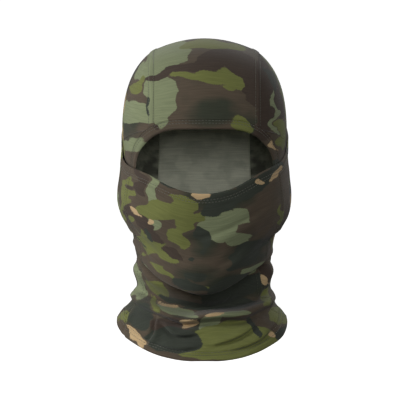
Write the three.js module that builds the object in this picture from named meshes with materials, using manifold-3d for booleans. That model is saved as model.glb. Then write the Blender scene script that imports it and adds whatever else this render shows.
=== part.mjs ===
// A balaclava of stretch fabric in its worn shape, as an assembly of the cut panels, hems, seams and
// stitch lines that it is sewn from. Millimetres, +Z up. The wearer looks along -Y.
// The origin is the middle of the wearer's head: the mid-plane, halfway back, at temple height.
//
// Two layers of cloth make the garment. The hood is a strip that runs from the brow over the crown
// and down the back to the hem, with a panel on each side of it. The neck tube is worn over the hood:
// a front panel that covers the nose, the chin and the chest, and a side panel on each side of that,
// which ends at the seam of the back strip. The top of the front panel is the face cover. It is not
// sewn to the hood, and the wearer pulls it down off the nose and over the chin. "Left" and "right"
// are the wearer's, so the left is at +X.
import * as THREE from "three";
import { mergeVertices } from "three/addons/utils/BufferGeometryUtils.js";
import Module from "manifold-3d";

// ---- Driving dimensions -------------------------------------------------------------------------

const CLOTH = 1.2; // thickness of one layer of cloth
const GAP = 0.4; // clear space between two pieces that touch on the real garment
const HEAD_HALF_WIDTH = 79;
const HEAD_POWER = 2.6; // how square the head is in section: 2 is an ellipse
const LAYER_STEP = CLOTH + 0.6; // the neck tube's outer face stands this far outside the hood's
const BEHIND_FACE = 0.6; // cosine of the angle from the front past which the tube rests on the hood

const CROWN_HALF_WIDTH = 51; // of the crown strip, from the brow to the top of the head
const NAPE_HALF_WIDTH = 43; // of the same strip at the back of the head
const NAPE_DEPTH = 98; // the back of the head, where the strip is down to that width
const HOOD_BOTTOM = -105; // where the hood's side panels end, inside the neck tube

const HEM_WIDTH = 10;
const NEEDLE_LINES = [6, 8.6]; // distance of the two rows of stitching from a hem's edge
const THREAD = 0.8; // width of a row of stitching
const TOP_HEM_PROUD = 0.8; // how far the top hems of the neck tube stand outside its cloth
const BOTTOM_HEM_PROUD = 0.4;
const SEAM_WIDTH = 6; // of a flat seam between two panels
const SEAM_PROUD = 1.3; // how far the top of a seam's threads stands outside the cloth

const COVER_BOTTOM = -85; // the part of the front panel above this height is the one pulled down
const CHIN_TUCK = 2.6; // how far the panel below is tucked in, so that the cover slides down outside it
const TUCK_STARTS = -130; // the tuck grows from nothing at this height
const TUCK_FULL = -104; // to the whole at this one

const AROUND = 36; // facets round the head
const LEVELS = [45, 30, 15, 0, -20, -40, -60, -85, -105, -120, -132, -145, -160, -178, -196, -215];
const TILTS = [83, 71, 60, 50, 40, 30, 20, 10]; // degrees above level, for the rings of the crown
const FAR = 250; // further than any part of the garment
const EDGE_STEPS = 10; // straight steps in a cut edge
const OPENING_STEPS = 14; // straight steps in half of the edge of the face opening
const MERGE = 1e-4; // vertices closer than this are one
const HALVINGS = 30; // steps of a search for a radius

// Outlines, each a list of [place, sizes...] that a smooth curve runs through.

// Radius of the head's profile in the mid-plane, by the angle in degrees from the front, over the top.
const HEAD_PROFILE = [
  [-60, 112], [0, 93], [12, 95], [45, 98], [90, 92], [135, 101], [180, 98], [240, 100],
];

// Height, half width, depth to the front and depth to the back of the hood below the temples.
const HOOD_SECTIONS = [
  [0, 79, 93, 98], [-20, 77, 94, 94], [-60, 74, 97, 78], [-85, 69, 96, 66], [-105, 61, 88, 60],
  [-130, 61, 70, 57], [-150, 63, 64, 58], [-165, 68, 66, 63], [-180, 79, 72, 71], [-215, 100, 100, 92],
];

// The same of the neck tube, which hangs clear of the cheeks and closes in under the chin.
const TUBE_SECTIONS = [
  [0, 81, 104, 99.8], [-20, 81, 111, 95.8], [-39, 82, 116, 88.5], [-60, 84, 115.5, 79.8],
  [-85, 77, 112, 67.8], [-110, 65, 108, 61], [-128, 65, 102, 59], [-140, 66, 90, 59], [-152, 66, 73, 60],
  [-165, 70, 69, 64.8], [-180, 81, 76, 72.8], [-195, 92, 87, 83], [-215, 104, 101, 95],
];
const TUBE_POWER = 2.35;

// Half of the edge of the face opening in the hood, from the brow down to the chin, as degrees from
// the front and height.
const FACE_OPENING = [
  [0, 19], [19, 17.5], [29, 12], [37, 3], [44, -9], [48, -24], [49, -60], [42, -86], [24, -97], [0, -100],
];
const RAYS_FROM = new THREE.Vector3(0, 0, -40); // the face opening is cut along rays from this point

// The seam between the front panel and a side panel, seen from the side, as [y, z]. It never leans
// forward on its way down, so the face cover slides down clear of the side panels.
const CHEEK_SEAM = [[-66, 60], [-63, -20], [-59, -85], [-46, -122], [-26, -155], [-20, -230]];

// The top edge of the neck tube and its bottom edge, seen from the side, as [y, z].
const TOP_EDGE = [[-140, -50], [-116, -40], [-90, -28], [-45, -19], [0, 0], [45, 13], [130, 26]];
const BOTTOM_EDGE = [
  [-130, -230], [-95, -207], [-60, -190], [0, -179], [60, -189], [90, -203], [130, -227],
];

const SIDES = [["left", 1], ["right", -1]];

// ---- Curves -------------------------------------------------------------------------------------

/** A value of a smooth curve through the rows of a table, whose first column is the place. */
function along(table, place, column = 1) {
  const rising = table[0][0] < table[table.length - 1][0];
  const rows = rising ? table : [...table].reverse();
  const last = rows.length - 1;
  const at = THREE.MathUtils.clamp(place, rows[0][0], rows[last][0]);
  let i = 0;
  while (i < last - 1 && at > rows[i + 1][0]) i += 1;
  const slope = (k) => {
    const from = rows[Math.max(k - 1, 0)];
    const to = rows[Math.min(k + 1, last)];
    return (to[column] - from[column]) / (to[0] - from[0]);
  };
  const span = rows[i + 1][0] - rows[i][0];
  const t = (at - rows[i][0]) / span;
  const rise = rows[i + 1][column] - rows[i][column];
  const start = slope(i) * span;
  const end = slope(i + 1) * span;
  const square = t * t * (3 * rise - 2 * start - end);
  return rows[i][column] + t * start + square + t * t * t * (start + end - 2 * rise);
}

/** Half the width of the crown strip where it passes the depth y. */
function stripHalfWidth(y) {
  const back = THREE.MathUtils.clamp(y / NAPE_DEPTH, 0, 1);
  return THREE.MathUtils.lerp(CROWN_HALF_WIDTH, NAPE_HALF_WIDTH, back);
}

/** Distance from the origin to the crown of the hood, in a unit direction that doesn't point down. */
function domeReach(direction) {
  const across = Math.abs(direction.x);
  const upright = Math.hypot(direction.y, direction.z);
  const angle = THREE.MathUtils.radToDeg(Math.atan2(direction.z, -direction.y));
  const profile = along(HEAD_PROFILE, angle);
  const sum = (across / HEAD_HALF_WIDTH) ** HEAD_POWER + (upright / profile) ** HEAD_POWER;
  const side = sum ** (-1 / HEAD_POWER);
  // The strip is flatter than the sides, so that the crown seams stand as two low ridges.
  const seam = stripHalfWidth(-profile * Math.cos(THREE.MathUtils.degToRad(angle)));
  const drop = profile * (1 - (1 - (seam / HEAD_HALF_WIDTH) ** HEAD_POWER) ** (1 / HEAD_POWER));
  const bend = (drop / seam ** 2) * across ** 2;
  if (bend < 1e-6) return Math.min(side, profile / upright);
  const strip = (Math.sqrt(upright ** 2 + 4 * bend * profile) - upright) / (2 * bend);
  return Math.min(side, strip);
}

/** Radius of a level section, from its half width and its depths to the front and the back. */
function sectionRadius(theta, halfWidth, front, back, power) {
  const depth = Math.cos(theta) > 0 ? front : back;
  const sum = Math.abs(Math.sin(theta) / halfWidth) ** power + Math.abs(Math.cos(theta) / depth) ** power;
  return sum ** (-1 / power);
}

/** Radius of the hood at an angle from the front and a height. */
function hoodRadius(theta, z) {
  if (z < 0) {
    const sizes = [1, 2, 3].map((column) => along(HOOD_SECTIONS, z, column));
    return sectionRadius(theta, ...sizes, HEAD_POWER);
  }
  let low = 0;
  let high = FAR;
  for (let step = 0; step < HALVINGS; step += 1) {
    const radius = (low + high) / 2;
    const point = new THREE.Vector3(radius * Math.sin(theta), -radius * Math.cos(theta), z);
    const inside = point.length() < domeReach(point.clone().normalize());
    if (inside) low = radius;
    else high = radius;
  }
  return low;
}

/** Radius of the neck tube, which is never closer than a layer to the hood at its back and sides. */
function tubeRadius(theta, z) {
  const sizes = [1, 2, 3].map((column) => along(TUBE_SECTIONS, Math.min(z, 0), column));
  const own = sectionRadius(theta, ...sizes, TUBE_POWER);
  if (Math.cos(theta) >= BEHIND_FACE) return own;
  return Math.max(z < 0 ? own : 0, hoodRadius(theta, z) + LAYER_STEP);
}

/** How far the front panel is tucked in at a height, so that the face cover slides down outside it. */
function chinTuck(z) {
  return CHIN_TUCK * THREE.MathUtils.smoothstep(z, TUCK_STARTS, TUCK_FULL);
}

// ---- Solids -------------------------------------------------------------------------------------

const wasm = await Module();
wasm.setup();

/** A closed geometry as a manifold-3d solid. */
function solidOf(geometry) {
  const bare = geometry.clone();
  bare.deleteAttribute("normal");
  bare.deleteAttribute("uv");
  const merged = mergeVertices(bare, MERGE);
  return new wasm.Manifold(
    new wasm.Mesh({
      numProp: 3,
      vertProperties: new Float32Array(merged.attributes.position.array),
      triVerts: new Uint32Array(merged.index.array),
    }),
  );
}

/** A named mesh of a solid. */
function meshOf(name, solid, material) {
  const { vertProperties, triVerts } = solid.getMesh();
  const geometry = new THREE.BufferGeometry()
    .setAttribute("position", new THREE.BufferAttribute(new Float32Array(vertProperties), 3))
    .setIndex(new THREE.BufferAttribute(new Uint32Array(triVerts), 1));
  geometry.computeVertexNormals();
  const mesh = new THREE.Mesh(geometry, material);
  mesh.name = name;
  return mesh;
}

/** A solid lofted through closed rings of points, listed from the top down. */
function loft(rings) {
  const last = rings.length - 1;
  const middle = (ring) => ring.reduce((sum, p) => sum.add(p), new THREE.Vector3()).divideScalar(AROUND);
  const points = [middle(rings[0]), ...rings.flat(), middle(rings[last])];
  const faces = [];
  const at = (ring, i) => 1 + ring * AROUND + (i % AROUND);
  for (let i = 0; i < AROUND; i += 1) {
    faces.push(0, at(0, i), at(0, i + 1));
    faces.push(points.length - 1, at(last, i + 1), at(last, i));
    for (let ring = 0; ring < last; ring += 1) {
      faces.push(at(ring, i), at(ring + 1, i), at(ring + 1, i + 1));
      faces.push(at(ring, i), at(ring + 1, i + 1), at(ring, i + 1));
    }
  }
  return solidOf(new THREE.BufferGeometry().setFromPoints(points).setIndex(faces));
}

/** One ring of points at a height, from the radius at each angle. */
function ringAt(z, radiusOf) {
  return Array.from({ length: AROUND }, (_, i) => {
    const theta = (i / AROUND) * 2 * Math.PI;
    const radius = radiusOf(theta, z);
    return new THREE.Vector3(radius * Math.sin(theta), -radius * Math.cos(theta), z);
  });
}

/** The whole hood as a solid, its face moved outwards by an offset. */
function hoodBody(offset) {
  const rings = TILTS.map((degrees) => {
    const tilt = THREE.MathUtils.degToRad(degrees);
    return Array.from({ length: AROUND }, (_, i) => {
      const theta = (i / AROUND) * 2 * Math.PI;
      const level = Math.cos(tilt);
      const flat = new THREE.Vector3(Math.sin(theta) * level, -Math.cos(theta) * level, 0);
      const direction = flat.setZ(Math.sin(tilt));
      return direction.clone().multiplyScalar(domeReach(direction) + offset);
    });
  });
  const below = LEVELS.filter((z) => z <= 0);
  return loft([...rings, ...below.map((z) => ringAt(z, (t, h) => hoodRadius(t, h) + offset))]);
}

/** The whole neck tube as a solid, its face moved outwards by an offset, less a tuck at each height. */
function tubeBody(offset, tuck = () => 0) {
  return loft(LEVELS.map((z) => ringAt(z, (t, h) => tubeRadius(t, h) + offset - tuck(h))));
}

/** A layer of cloth between two offsets of a body, which may be tucked in at each height. */
function layer(body, outer, inner, tuck) {
  return body(outer, tuck).subtract(body(inner, tuck));
}

/** A shape extruded between two places along X or Z. */
function prism(shape, axis, from, to) {
  const geometry = new THREE.ExtrudeGeometry(shape, { depth: to - from, bevelEnabled: false });
  geometry.translate(0, 0, from);
  const turns = {
    x: new THREE.Matrix4().set(0, 0, 1, 0, 1, 0, 0, 0, 0, 1, 0, 0, 0, 0, 0, 1),
    z: new THREE.Matrix4(),
  };
  return solidOf(geometry.applyMatrix4(turns[axis]));
}

/** Everything between two corners. */
function block(low, high) {
  const size = high.map((h, k) => h - low[k]);
  const geometry = new THREE.BoxGeometry(...size);
  geometry.translate(...low.map((l, k) => l + size[k] / 2));
  return solidOf(geometry);
}

/** Everything on one side of the mid-plane: 1 is the wearer's left. */
function half(side) {
  return side < 0 ? block([-FAR, -FAR, -FAR], [0, FAR, FAR]) : block([0, -FAR, -FAR], [FAR, FAR, FAR]);
}

/** The column that holds the crown strip, grown by an amount on each side. */
function stripColumn(grow) {
  const places = [-FAR, 0, NAPE_DEPTH, FAR];
  const outline = places.map((y) => new THREE.Vector2(stripHalfWidth(y) + grow, y));
  const mirrored = outline.map((p) => new THREE.Vector2(-p.x, p.y)).reverse();
  return prism(new THREE.Shape([...outline, ...mirrored]), "z", -FAR, FAR);
}

/** Points on a smooth cut edge through the rows of an outline, each moved by an amount each way. */
function cutEdge(rows, across, up, steps = EDGE_STEPS) {
  return new THREE.SplineCurve(rows.map(([a, b]) => new THREE.Vector2(a + across, b + up))).getPoints(steps);
}

/** The cone of rays that cuts the face opening, once its edge is moved outwards by an amount. */
function openingCone(grow) {
  const left = cutEdge(FACE_OPENING, 0, 0, OPENING_STEPS);
  const right = left.slice(1, -1).map((p) => new THREE.Vector2(-p.x, p.y)).reverse();
  const edge = [...left, ...right].map((p) => {
    const theta = THREE.MathUtils.degToRad(p.x);
    const radius = hoodRadius(theta, p.y);
    return new THREE.Vector3(radius * Math.sin(theta), -radius * Math.cos(theta), p.y);
  });
  const count = edge.length;
  const rim = edge.map((p, i) => {
    const ahead = edge[(i + 1) % count].clone().sub(edge[(i + count - 1) % count]);
    const outwards = ahead.cross(p.clone().sub(RAYS_FROM)).normalize();
    const ray = p.clone().addScaledVector(outwards, -grow).sub(RAYS_FROM);
    return ray.multiplyScalar(2).add(RAYS_FROM);
  });
  const points = [RAYS_FROM, new THREE.Vector3(0, -FAR, RAYS_FROM.z), ...rim];
  const faces = [];
  for (let i = 0; i < count; i += 1) {
    const here = 2 + i;
    const next = 2 + ((i + 1) % count);
    faces.push(0, here, next, 1, next, here);
  }
  return solidOf(new THREE.BufferGeometry().setFromPoints(points).setIndex(faces));
}

/** Everything above the neck tube's top edge, once that edge is lowered by an amount. */
function aboveTopEdge(drop) {
  const edge = cutEdge(TOP_EDGE, 0, -drop);
  const corners = [new THREE.Vector2(edge[EDGE_STEPS].x, FAR), new THREE.Vector2(edge[0].x, FAR)];
  return prism(new THREE.Shape([...edge, ...corners]), "x", -FAR, FAR);
}

/** Everything below the garment's bottom edge, once that edge is raised by an amount. */
function belowBottomEdge(rise) {
  const edge = cutEdge(BOTTOM_EDGE, 0, rise);
  const corners = [new THREE.Vector2(edge[0].x, -FAR), new THREE.Vector2(edge[EDGE_STEPS].x, -FAR)];
  return prism(new THREE.Shape([...corners, ...edge.reverse()]), "x", -FAR, FAR);
}

/** Everything ahead of the cheek seam, once the seam is moved back by an amount. */
function aheadOfSeam(shift) {
  const seam = cutEdge(CHEEK_SEAM, shift, 0);
  const low = new THREE.Vector2(-FAR, seam[EDGE_STEPS].y);
  const high = new THREE.Vector2(-FAR, seam[0].y);
  return prism(new THREE.Shape([high, low, ...seam.reverse()]), "x", -FAR, FAR);
}

// ---- Regions that several pieces share ----------------------------------------------------------

const aheadOfCheekSeam = aheadOfSeam(-GAP / 2);
const uptoCheekSeam = aheadOfSeam(GAP / 2);
const frontBelowBrow = block([-FAR, -FAR, -FAR], [FAR, 0, 0]);
const hoodHeight = block([-FAR, -FAR, HOOD_BOTTOM], [FAR, FAR, FAR]);
const strip = (grow) => stripColumn(grow).subtract(frontBelowBrow);

const camoCloth = new THREE.MeshStandardMaterial({ color: 0x5c6244, roughness: 0.95, metalness: 0 });
const doubledCloth = new THREE.MeshStandardMaterial({ color: 0x4e5240, roughness: 0.95, metalness: 0 });
const thread = new THREE.MeshStandardMaterial({ color: 0x3a3b30, roughness: 0.8, metalness: 0 });

const garment = new THREE.Group();
garment.name = "balaclava";

/** Adds a piece to the garment. */
function add(name, solid, material) {
  garment.add(meshOf(name, solid, material));
}

// ---- Hood ---------------------------------------------------------------------------------------

function addHood() {
  const cloth = layer(hoodBody, 0, -CLOTH);
  const cut = openingCone(HEM_WIDTH + GAP / 2);
  const hem = belowBottomEdge(HEM_WIDTH + GAP / 2);
  add("crown_strip", cloth.intersect(strip(-GAP / 2)).subtract(cut).subtract(hem), camoCloth);
  const sides = cloth.subtract(stripColumn(GAP / 2)).subtract(cut).intersect(hoodHeight);
  for (const [side, sign] of SIDES) {
    add(`${side}_hood_side`, sides.intersect(half(sign)), camoCloth);
  }
  const doubled = layer(hoodBody, 0, -2 * CLOTH);
  add("face_opening_hem", doubled.intersect(openingCone(HEM_WIDTH).subtract(openingCone(0))), doubledCloth);
}

// ---- Neck tube ----------------------------------------------------------------------------------

function addNeckTube() {
  const cloth = layer(tubeBody, 0, -CLOTH);
  const topHem = aboveTopEdge(HEM_WIDTH + GAP / 2);
  const bottomHem = belowBottomEdge(HEM_WIDTH + GAP / 2);
  const besideStrip = stripColumn(SEAM_WIDTH / 2 + GAP);
  const sides = cloth.subtract(topHem).subtract(bottomHem).subtract(uptoCheekSeam).subtract(besideStrip);
  const hemBand = layer(tubeBody, TOP_HEM_PROUD, -CLOTH)
    .intersect(aboveTopEdge(HEM_WIDTH))
    .subtract(aboveTopEdge(0));
  const sideHems = hemBand.subtract(uptoCheekSeam).subtract(besideStrip);
  for (const [side, sign] of SIDES) {
    add(`${side}_neck_side`, sides.intersect(half(sign)), camoCloth);
    add(`${side}_neck_side_hem`, sideHems.intersect(half(sign)), doubledCloth);
  }
  const front = layer(tubeBody, 0, -CLOTH, chinTuck).intersect(aheadOfCheekSeam);
  const belowCover = block([-FAR, -FAR, -FAR], [FAR, FAR, COVER_BOTTOM - GAP]);
  add("chest_panel", front.intersect(belowCover).subtract(bottomHem), camoCloth);
  const coverHeight = block([-FAR, -FAR, COVER_BOTTOM], [FAR, FAR, FAR]);
  add("face_cover", cloth.intersect(aheadOfCheekSeam).intersect(coverHeight).subtract(topHem), camoCloth);
  add("face_cover_hem", hemBand.intersect(aheadOfCheekSeam), doubledCloth);
  const doubled = layer(tubeBody, BOTTOM_HEM_PROUD, -2 * CLOTH);
  const ring = doubled.intersect(belowBottomEdge(HEM_WIDTH)).subtract(belowBottomEdge(0));
  add("bottom_hem", ring, doubledCloth);
}

// ---- Flat seams ---------------------------------------------------------------------------------

function addSeams() {
  const overHood = layer(hoodBody, SEAM_PROUD, GAP);
  const crownBand = stripColumn(SEAM_WIDTH / 2).subtract(stripColumn(-SEAM_WIDTH / 2));
  const crownSeams = overHood
    .intersect(crownBand.subtract(frontBelowBrow))
    .subtract(openingCone(HEM_WIDTH + GAP))
    .subtract(belowBottomEdge(HEM_WIDTH + GAP));
  const overTube = layer(tubeBody, SEAM_PROUD, GAP);
  const cheekBand = aheadOfSeam(GAP + SEAM_WIDTH).subtract(aheadOfSeam(GAP));
  const cheekSeams = overTube
    .intersect(cheekBand)
    .subtract(aboveTopEdge(HEM_WIDTH + GAP))
    .subtract(belowBottomEdge(HEM_WIDTH + GAP));
  for (const [side, sign] of SIDES) {
    add(`${side}_crown_seam`, crownSeams.intersect(half(sign)), thread);
    add(`${side}_cheek_seam`, cheekSeams.intersect(half(sign)), thread);
  }
}

// ---- Rows of stitching --------------------------------------------------------------------------

function addStitching() {
  const rows = [["outer", NEEDLE_LINES[0]], ["inner", NEEDLE_LINES[1]]];
  const overHood = layer(hoodBody, GAP + THREAD, GAP);
  const overTube = layer(tubeBody, TOP_HEM_PROUD + GAP + THREAD, TOP_HEM_PROUD + GAP);
  const besideStrip = stripColumn(SEAM_WIDTH / 2 + GAP);
  for (const [row, line] of rows) {
    const brow = overHood.intersect(openingCone(line + THREAD).subtract(openingCone(line)));
    add(`face_opening_stitch_${row}`, brow, thread);
    const top = overTube.intersect(aboveTopEdge(line + THREAD)).subtract(aboveTopEdge(line));
    add(`face_cover_stitch_${row}`, top.intersect(aheadOfCheekSeam), thread);
    const sides = top.subtract(uptoCheekSeam).subtract(besideStrip);
    for (const [side, sign] of SIDES) {
      add(`${side}_neck_side_stitch_${row}`, sides.intersect(half(sign)), thread);
    }
    const bottom = overTube.intersect(belowBottomEdge(line + THREAD)).subtract(belowBottomEdge(line));
    add(`bottom_stitch_${row}`, bottom, thread);
  }
}

addHood();
addNeckTube();
addSeams();
addStitching();

export default garment;
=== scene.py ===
"""The cloth of a stretch balaclava in its worn shape: printed panels, folded hems, flat seams and stitching.

All sizes here are in millimetres, and become metres when a mesh is made. The wearer looks along -Y, Z is
up, and the origin is the middle of the wearer's head. "Left" and "right" are the wearer's, so the left is
at +X.
"""

import logging
import math
from dataclasses import dataclass
from enum import Enum
from functools import cached_property
from typing import Callable, Sequence

import bpy
import numpy as np
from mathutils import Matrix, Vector


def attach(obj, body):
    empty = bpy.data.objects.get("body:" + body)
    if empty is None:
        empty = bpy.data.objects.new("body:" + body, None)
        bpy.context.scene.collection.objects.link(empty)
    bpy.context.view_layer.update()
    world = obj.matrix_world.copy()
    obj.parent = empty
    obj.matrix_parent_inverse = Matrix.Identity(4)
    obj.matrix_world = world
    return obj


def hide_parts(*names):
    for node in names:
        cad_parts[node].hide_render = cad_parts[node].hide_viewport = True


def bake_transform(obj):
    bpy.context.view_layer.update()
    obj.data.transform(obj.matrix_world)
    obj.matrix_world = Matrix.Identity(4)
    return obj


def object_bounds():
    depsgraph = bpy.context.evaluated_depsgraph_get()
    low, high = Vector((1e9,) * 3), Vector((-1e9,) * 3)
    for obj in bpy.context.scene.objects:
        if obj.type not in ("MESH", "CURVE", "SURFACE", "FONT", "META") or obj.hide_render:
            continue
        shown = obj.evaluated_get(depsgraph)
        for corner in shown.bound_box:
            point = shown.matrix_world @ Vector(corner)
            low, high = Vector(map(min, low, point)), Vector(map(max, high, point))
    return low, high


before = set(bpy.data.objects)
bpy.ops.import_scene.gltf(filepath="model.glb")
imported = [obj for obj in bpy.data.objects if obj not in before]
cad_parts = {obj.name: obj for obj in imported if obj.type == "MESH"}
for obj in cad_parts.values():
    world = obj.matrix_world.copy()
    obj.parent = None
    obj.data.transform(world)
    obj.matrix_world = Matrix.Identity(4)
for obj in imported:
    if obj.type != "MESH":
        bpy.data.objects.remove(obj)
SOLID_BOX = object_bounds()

Array = np.ndarray
Rows = Sequence[Sequence[float]]
Line = Callable[[float], Array]  # the line on the garment at a distance from an edge or a seam
Columns = Callable[[Array], Array]  # the angle from the front of each column at a height
Piece = bpy.types.Object
Material = bpy.types.Material
Socket = bpy.types.NodeSocket
Feed = Socket | float | Sequence[float]  # what goes into an input of a node

MM = 0.001
HOOD = "hood"
LOG = logging.getLogger("balaclava")


# ---- Curves and noise ---------------------------------------------------------------------------


def slopes(places: Array, values: Array) -> Array:
    """The slope of values at each of their places, from the places on either side of it.

    Args:
        places: Places, in order.
        values: A value, or an array of them, for each place.

    Returns:
        A slope for each value.
    """
    before = np.maximum(np.arange(len(places)) - 1, 0)
    after = np.minimum(np.arange(len(places)) + 1, len(places) - 1)
    gap = (places[after] - places[before]).reshape(-1, *[1] * (values.ndim - 1))
    return (values[after] - values[before]) / gap


def ease(t: Array, start: Array, end: Array, leave: Array, arrive: Array) -> Array:
    """A smooth way from start at t = 0 to end at t = 1, with the slopes leave and arrive there."""
    rise = end - start
    return start + t * leave + t * t * (3 * rise - 2 * leave - arrive) + t**3 * (leave + arrive - 2 * rise)


def along(table: Rows, place: Array | float, column: int = 1) -> Array:
    """A value of the smooth curve through the rows of a table, whose first column is the place.

    Args:
        table: Rows of a place and one or more values.
        place: Where on the curve to read it.
        column: Which value of a row to read.

    Returns:
        The value at each place, held level past the two ends.
    """
    rows = np.asarray(table, float)
    rows = rows[np.argsort(rows[:, 0])]
    xs, ys = rows[:, 0], rows[:, column]
    at = np.clip(np.asarray(place, float), xs[0], xs[-1])
    i = np.clip(np.searchsorted(xs, at, side="right") - 1, 0, len(xs) - 2)
    slope = slopes(xs, ys)
    span = xs[i + 1] - xs[i]
    return ease((at - xs[i]) / span, ys[i], ys[i + 1], slope[i] * span, slope[i + 1] * span)


def through(points: Rows, count: int) -> Array:
    """Points evenly spaced in parameter on a smooth curve through a list of points.

    Args:
        points: The points that the curve passes through.
        count: How many points to return.

    Returns:
        An array of count points.
    """
    rows = np.array(points, float)
    table = np.column_stack([np.arange(len(rows)), rows])
    places = np.linspace(0, len(rows) - 1, count)
    return np.column_stack([along(table, places, k + 1) for k in range(rows.shape[1])])


def smoothstep(low: float, high: float, x: Array) -> Array:
    """A smooth step from 0 at low to 1 at high."""
    t = np.clip((x - low) / (high - low), 0, 1)
    return t * t * (3 - 2 * t)


def unit(vectors: Array) -> Array:
    """The vectors, each scaled to length 1."""
    return vectors / np.maximum(np.linalg.norm(vectors, axis=-1, keepdims=True), 1e-9)


def round_the_axis(radius: Array, theta: Array, z: Array) -> Array:
    """Points at a radius from the upright axis, an angle from the front in radians, and a height."""
    return np.stack([radius * np.sin(theta), -radius * np.cos(theta), z], axis=-1)


def within_half_turn(theta: Array) -> Array:
    """The same angles, from minus half a turn to half a turn."""
    return np.remainder(theta + np.pi, 2 * np.pi) - np.pi


def mirrored(points: Array, sign: int) -> Array:
    """The points as they are for sign 1, or on the other side of the garment for sign -1."""
    return points * np.array([sign, 1, 1])


def noise(points: Array, size: float, seed: int) -> Array:
    """Smooth noise from -1 to 1 at points in space.

    Args:
        points: Places, of shape (..., 3).
        size: Width of the noise's bumps, in the points' own unit.
        seed: Which noise to read.

    Returns:
        One value for each place.
    """
    p = np.asarray(points, float) / size + 137.0
    cell = np.floor(p).astype(np.int64)
    f = p - cell
    f = f * f * f * (f * (f * 6 - 15) + 10)
    total = np.zeros(p.shape[:-1])
    for corner in range(8):
        step = np.array([corner & 1, corner >> 1 & 1, corner >> 2 & 1])
        key = ((cell + step) * np.array([73856093, 19349663, 83492791])).sum(-1) ^ (seed * 7919 + 12345)
        key = (key ^ (key >> 13)) * 1274126177
        key = (key ^ (key >> 16)) & 0xFFFF
        weight = np.prod(np.where(step == 1, f, 1 - f), axis=-1)
        total += weight * (key / 32767.5 - 1)
    return total


def grid_normals(grid: Array, closed: bool = False) -> Array:
    """Unit normals of a grid of points, on the side of its first axis crossed with its second.

    Args:
        grid: Points of shape (rows, columns, 3).
        closed: Whether the last column is next to the first.

    Returns:
        Normals of the same shape.
    """
    down = np.gradient(grid, axis=0)
    if closed:
        across = np.roll(grid, -1, axis=1) - np.roll(grid, 1, axis=1)
    else:
        across = np.gradient(grid, axis=1)
    return unit(np.cross(down, across))


def path_length(grid: Array, axis: int) -> Array:
    """Distance along one axis of a grid of points, from 0 at its start.

    Args:
        grid: Points of shape (rows, columns, 3).
        axis: The axis to go along.

    Returns:
        The distance of each point.
    """
    steps = np.linalg.norm(np.diff(grid, axis=axis), axis=-1)
    start = np.zeros_like(np.take(steps, [0], axis=axis))
    return np.concatenate([start, np.cumsum(steps, axis=axis)], axis=axis)


# ---- The form that the cloth takes --------------------------------------------------------------


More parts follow.
